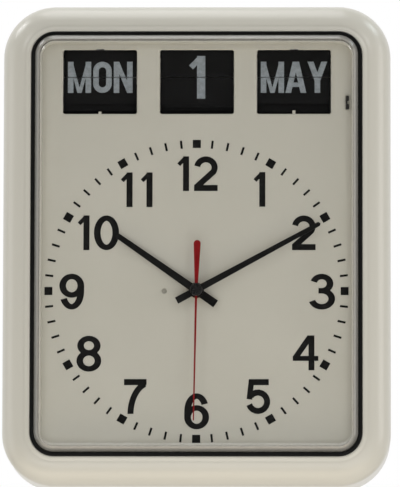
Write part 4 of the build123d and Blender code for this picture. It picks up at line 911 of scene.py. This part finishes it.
class CLOCK_OT_lens(Operator):
    """Make the clear lens and its rubber gasket"""

    bl_idname = "clock.lens"
    bl_label = "Lens and gasket"

    def execute(self, context):
        s = context.scene.clock_case
        outside, back, front = front_view("lens_gasket", s.gasket_corner)
        bend = 0.3 * s.gasket
        width, height, corner = offset(outside, -s.gasket)
        opening = (width + FIT, height + FIT, corner)
        foot = offset(outside, -s.gasket - s.lens_wall - LAND)
        sections = [(foot, back + s.gasket_floor), (foot, back), (outside, back)]
        sections += rounded(outside, front - bend, bend, 0, 90, 6)
        sections += rolled_rim(opening, front, bend, 90, 70, 45, 20, 0)
        sections += [(opening, back + s.gasket_floor)]
        new_piece(loft("rubber_gasket", sections), "black_rubber", "lens_gasket")

        outside, back, front = front_view("front_lens", s.gasket_corner - s.gasket)
        bend = front - s.lens_edge
        land = 0.5 * MM
        softer = 2 * MM
        inside = offset(outside, -s.lens_wall)
        width, height, corner = offset(inside, -s.lens_edge)
        sections = [((width, height, corner + softer), front - s.lens_wall)]
        sections += rounded(inside, bend, s.lens_edge - s.lens_wall, 90, 0, 16)
        sections += [(inside, bend - land), (inside, back), (outside, back), (outside, bend - land)]
        sections += rounded(outside, bend, s.lens_edge, 0, 90, 20)
        sections += [(offset(outside, -s.lens_edge - land), front)]
        new_piece(loft("clear_front", sections, capped=True), "clear_lens", "front_lens")
        return {"FINISHED"}


def hands_centre():
    """Centre of the hands, on the dial's front."""
    low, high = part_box("second_hand_cap")
    return Vector(((low.x + high.x) / 2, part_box("dial_plate")[0].y, (low.z + high.z) / 2))


class CLOCK_OT_track(Operator):
    """Print the ring of minute marks on the dial"""

    bl_idname = "clock.track"
    bl_label = "Minute track"

    def execute(self, context):
        s = context.scene.clock_print
        centre = hands_centre()
        centre.y -= s.ink / 2
        mesh = grow("minute_track", track_tree(), "black_ink",
                    {"Radius": s.track, "Length": s.block, "Hour width": s.block, "Minute width": s.tick,
                     "Thickness": s.ink, "Centre": tuple(centre)})
        new_piece(mesh, "black_ink", "dial_markings")
        return {"FINISHED"}


class CLOCK_OT_numerals(Operator):
    """Print the twelve numerals on the dial"""

    bl_idname = "clock.numerals"
    bl_label = "Numerals"

    def execute(self, context):
        s = context.scene.clock_print
        centre = hands_centre()
        for hour, (x, z) in HOUR_PLACES.items():
            height = s.numeral * (ROUND_GROWTH if hour in ROUND_HOURS else 1)
            polygons = text_quads(str(hour), height, s.stroke, HOUR_GAPS.get(hour, 0) * MM)

            def place(point, above):
                return (centre.x + x * MM + point.x, centre.y - above, centre.z + z * MM + point.y)

            new_piece(print_mesh(f"numeral_{hour}", polygons, place, s.ink), "black_ink")
        return {"FINISHED"}


class CLOCK_OT_words(Operator):
    """Print the flip cards, each word in an upper and a lower half"""

    bl_idname = "clock.words"
    bl_label = "Card print"

    def execute(self, context):
        s = context.scene.clock_print
        lean = Matrix.Rotation(-NEXT_LEAN, 3, "X")
        for module, (cards, shown, following) in MODULES.items():
            axle_low, axle_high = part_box(module + "_axle")
            low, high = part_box(module + "_top_card")
            axis = (axle_low + axle_high) / 2
            middle_x = (low.x + high.x) / 2
            face = low.y + PIN_OUT
            middle_y = face + CARD / 2
            # Pins of the top card and the next one, which are one card apart on the drum
            step = tau / cards
            radius = (axis.y - middle_y) / cos(step / 2)
            pin, next_pin = (Vector((0, axis.y - radius * cos(turn), axis.z + radius * sin(turn)))
                             for turn in (0.5 * step, 1.5 * step))

            def on_front(point, above):
                return Vector((middle_x + point.x, face - above, axis.z + point.y))

            def on_back(point, above):
                front = on_front(point, above)
                return Vector((front.x, 2 * middle_y - front.y, 2 * axis.z - front.z))

            def on_next(point, above):
                return next_pin + lean @ (on_front(point, above) - pin)

            height, stroke = (s.figure, s.figure_stroke) if module == "date" else (s.word, s.word_stroke)
            for half, text, place, lowest, highest, body in (
                    ("top", shown, on_front, SEAM, inf, "top_card"),
                    ("low", shown, on_front, -inf, -SEAM, "drum"),
                    ("back", following, on_back, -inf, -SEAM, "top_card"),
                    ("next", following, on_next, SEAM, inf, "next_card")):
                polygons = text_quads(text, height, stroke, LETTER_GAP, lowest, highest)
                mesh = print_mesh(f"{module}_print_{half}", polygons, place, s.card_ink)
                new_piece(mesh, "black_card", body=f"{module}_{body}", finish="card_print")
        return {"FINISHED"}


def screw_template(s):
    """Screw with a domed head, a thread and a cross recess, which points into the clock along Y."""
    head, shank, reach = s.screw_head, s.screw_shank, s.screw_reach
    tall, pitch, core = 2 * MM, 0.9 * MM, 0.78 * s.screw_shank
    dome = ((0, 1), (0.45, 0.99), (0.78, 0.86), (0.94, 0.6), (1, 0.3), (1, 0))
    profile = [(out * head, -up * tall) for out, up in dome] + [(shank, 0)]
    depth = 0.0
    while depth < reach - 2 * pitch:
        profile += [(core, depth + 0.1 * pitch), (shank, depth + 0.55 * pitch), (core, depth + pitch)]
        depth += pitch
    profile += [(0.7 * shank, reach - 0.4 * pitch), (0, reach)]
    template = add_object("screw_template", lathe("screw_template", profile, 28))
    blades = []
    for turn in (0, pi / 2):
        bm = bmesh.new()
        size = Matrix.Diagonal((1.2 * head, 1.1 * tall, 0.28 * head, 1))
        bmesh.ops.create_cube(bm, size=1, matrix=Matrix.Rotation(turn, 4, "Y") @ size)
        bmesh.ops.translate(bm, verts=bm.verts, vec=(0, tall, 0))
        blades.append(add_object("screw_blade", mesh_from(bm, "screw_blade")))
        modifier = template.modifiers.new("Recess", "BOOLEAN")
        modifier.object = blades[-1]
        modifier.solver = "EXACT"
    template.data = baked(template)
    for blade in blades:
        bpy.data.objects.remove(blade)
    return template


class CLOCK_OT_screws(Operator):
    """Make the screws of the chassis, the rear cover and the hanger"""

    bl_idname = "clock.screws"
    bl_label = "Screws"

    def execute(self, context):
        template = screw_template(context.scene.clock_parts)
        points = screw_points(CHASSIS_POST, y=-66.5 * MM)
        points += screw_points(COVER_POST, y=-5.5 * MM)
        points += screw_points(HANGER_SCREW, HANGER_MIDDLE, -4 * MM, (-1, 1))
        set_on_points("case_screw_set", "zinc_screw", points, template, 3.0, 4, "case_screws")
        return {"FINISHED"}


class CLOCK_OT_coil(Operator):
    """Wind the motor's coil on its bobbin"""

    bl_idname = "clock.coil"
    bl_label = "Coil"

    def execute(self, context):
        s = context.scene.clock_parts
        low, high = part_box("coil")
        centre = (low + high) / 2
        flange, half = (high.z - low.z) / 2, (high.x - low.x) / 2
        core, thick = 1.68 * MM, 0.9 * MM
        drum = flange - 0.9 * MM
        profile = [(core, -half), (flange, -half), (flange, thick - half), (drum, thick - half),
                   (drum, half - thick), (flange, half - thick), (flange, half), (core, half)]
        bobbin = lathe("coil_bobbin", profile, 32, closed=True)
        bobbin.transform(Matrix.Translation(centre) @ Matrix.Rotation(pi / 2, 4, "Z"))
        new_piece(bobbin, "copper_wire", "coil", finish="movement_plastic")
        span = 2 * (half - thick) - s.wire
        start = centre - Vector((span / 2, 0, 0))
        # Half as many turns of a thicker wire look as closely wound, with fewer faces
        mesh = grow("coil_winding", winding_tree(), "copper_wire",
                    {"Radius": drum + s.wire / 2, "Length": span, "Turns": s.turns / 2,
                     "Wire": s.wire * 1.6, "Centre": tuple(start)})
        new_piece(mesh, "copper_wire")
        return {"FINISHED"}


def area_lamp(name, place, size, power, tint):
    """Soft lamp that points at the middle of the clock."""
    lamp = bpy.data.lights.new(name, "AREA")
    lamp.shape, lamp.size, lamp.size_y = "RECTANGLE", size[0], size[1]
    lamp.energy, lamp.color = power, tint
    item = add_object(name, lamp)
    item.location = place
    item.rotation_euler = (LAMP_TARGET - Vector(place)).to_track_quat("-Z", "Y").to_euler()


def make_world(ambient):
    """White behind the clock, dim in front of it, and an even light on its surfaces."""
    world = bpy.data.worlds.new("studio")
    bpy.context.scene.world = world
    world.use_nodes = True
    tree = world.node_tree
    path = add(tree, "ShaderNodeLightPath").outputs
    place = add(tree, "ShaderNodeTexCoord").outputs["Generated"]
    forward = add(tree, "ShaderNodeSeparateXYZ", {0: place}).outputs["Y"]
    behind = map_range(tree, forward, 0.0, 0.6, 0.02, 1.0)
    seen = path["Is Camera Ray"]
    bent = calculate(tree, "MAXIMUM", path["Is Glossy Ray"], path["Is Transmission Ray"])
    lit = calculate(tree, "SUBTRACT", 1, calculate(tree, "MAXIMUM", seen, bent))
    shown = calculate(tree, "MAXIMUM", seen, calculate(tree, "MULTIPLY", bent, behind))
    level = calculate(tree, "ADD", shown, calculate(tree, "MULTIPLY", lit, ambient))
    tree.links.new(level, tree.nodes["Background"].inputs["Strength"])
    tree.nodes["Background"].inputs["Color"].default_value = (1, 1, 1, 1)


class CLOCK_OT_studio(Operator):
    """Set up the floor, the soft lamps, the pale background and the camera"""

    bl_idname = "clock.studio"
    bl_label = "Studio"

    def execute(self, context):
        s = context.scene.clock_studio
        bm = bmesh.new()
        bmesh.ops.create_grid(bm, x_segments=1, y_segments=1, size=FLOOR_REACH)
        bmesh.ops.translate(bm, verts=bm.verts, vec=(0, 0, FLOOR_LEVEL))
        floor = add_object("floor", mesh_from(bm, "floor"))
        moulded("floor_paper", (0.8, 0.8, 0.79), 0.8, 0.01, 3, 300, 2e-5)
        floor.data.materials.append(finish_of("floor_paper"))
        make_world(s.ambient)
        for lamp in LAMPS:
            area_lamp(*lamp)
        camera = bpy.data.cameras.new("photo_camera")
        camera.sensor_fit, camera.sensor_width, camera.lens = "HORIZONTAL", 36, s.lens
        camera.clip_end = 50
        item = add_object("photo_camera", camera)
        item.matrix_world = Matrix.Translation(CAMERA_TARGET)
        for turn, axis in ((s.azimuth, "Z"), (pi / 2 - s.elevation, "X"), (s.roll, "Z")):
            item.matrix_world @= Matrix.Rotation(turn, 4, axis)
        item.matrix_world @= Matrix.Translation((0, 0, s.distance))
        context.scene.camera = item
        context.scene.view_settings.view_transform = "Standard"
        return {"FINISHED"}


OPERATORS = (CLOCK_OT_finishes, CLOCK_OT_case, CLOCK_OT_posts, CLOCK_OT_lens, CLOCK_OT_track,
             CLOCK_OT_numerals, CLOCK_OT_words, CLOCK_OT_screws, CLOCK_OT_coil, CLOCK_OT_studio)
SETTINGS = {"clock_case": ClockCaseSizes, "clock_print": ClockPrintSizes, "clock_parts": ClockPartSizes,
            "clock_colours": ClockColours, "clock_studio": ClockStudio}


class CLOCK_PT_panel(Panel):
    """Lists the clock's settings and the steps that make it"""

    bl_label = "Wall clock"
    bl_idname = "CLOCK_PT_panel"
    bl_space_type = "VIEW_3D"
    bl_region_type = "UI"
    bl_category = "Clock"

    def draw(self, context):
        for name, group in SETTINGS.items():
            box = self.layout.box()
            for label in group.__annotations__:
                box.prop(getattr(context.scene, name), label)
        for operator in OPERATORS:
            self.layout.operator(operator.bl_idname)


def register():
    for cls in (*SETTINGS.values(), *OPERATORS, CLOCK_PT_panel):
        bpy.utils.register_class(cls)
    for name, group in SETTINGS.items():
        setattr(bpy.types.Scene, name, PointerProperty(type=group))


def unregister():
    for name in SETTINGS:
        delattr(bpy.types.Scene, name)
    for cls in (CLOCK_PT_panel, *reversed(OPERATORS), *SETTINGS.values()):
        bpy.utils.unregister_class(cls)


def main():
    """Makes the whole clock."""
    register()
    for operator in OPERATORS:
        group, name = operator.bl_idname.split(".")
        getattr(getattr(bpy.ops, group), name)()
    bpy.context.view_layer.update()


if __name__ == "__main__":
    main()
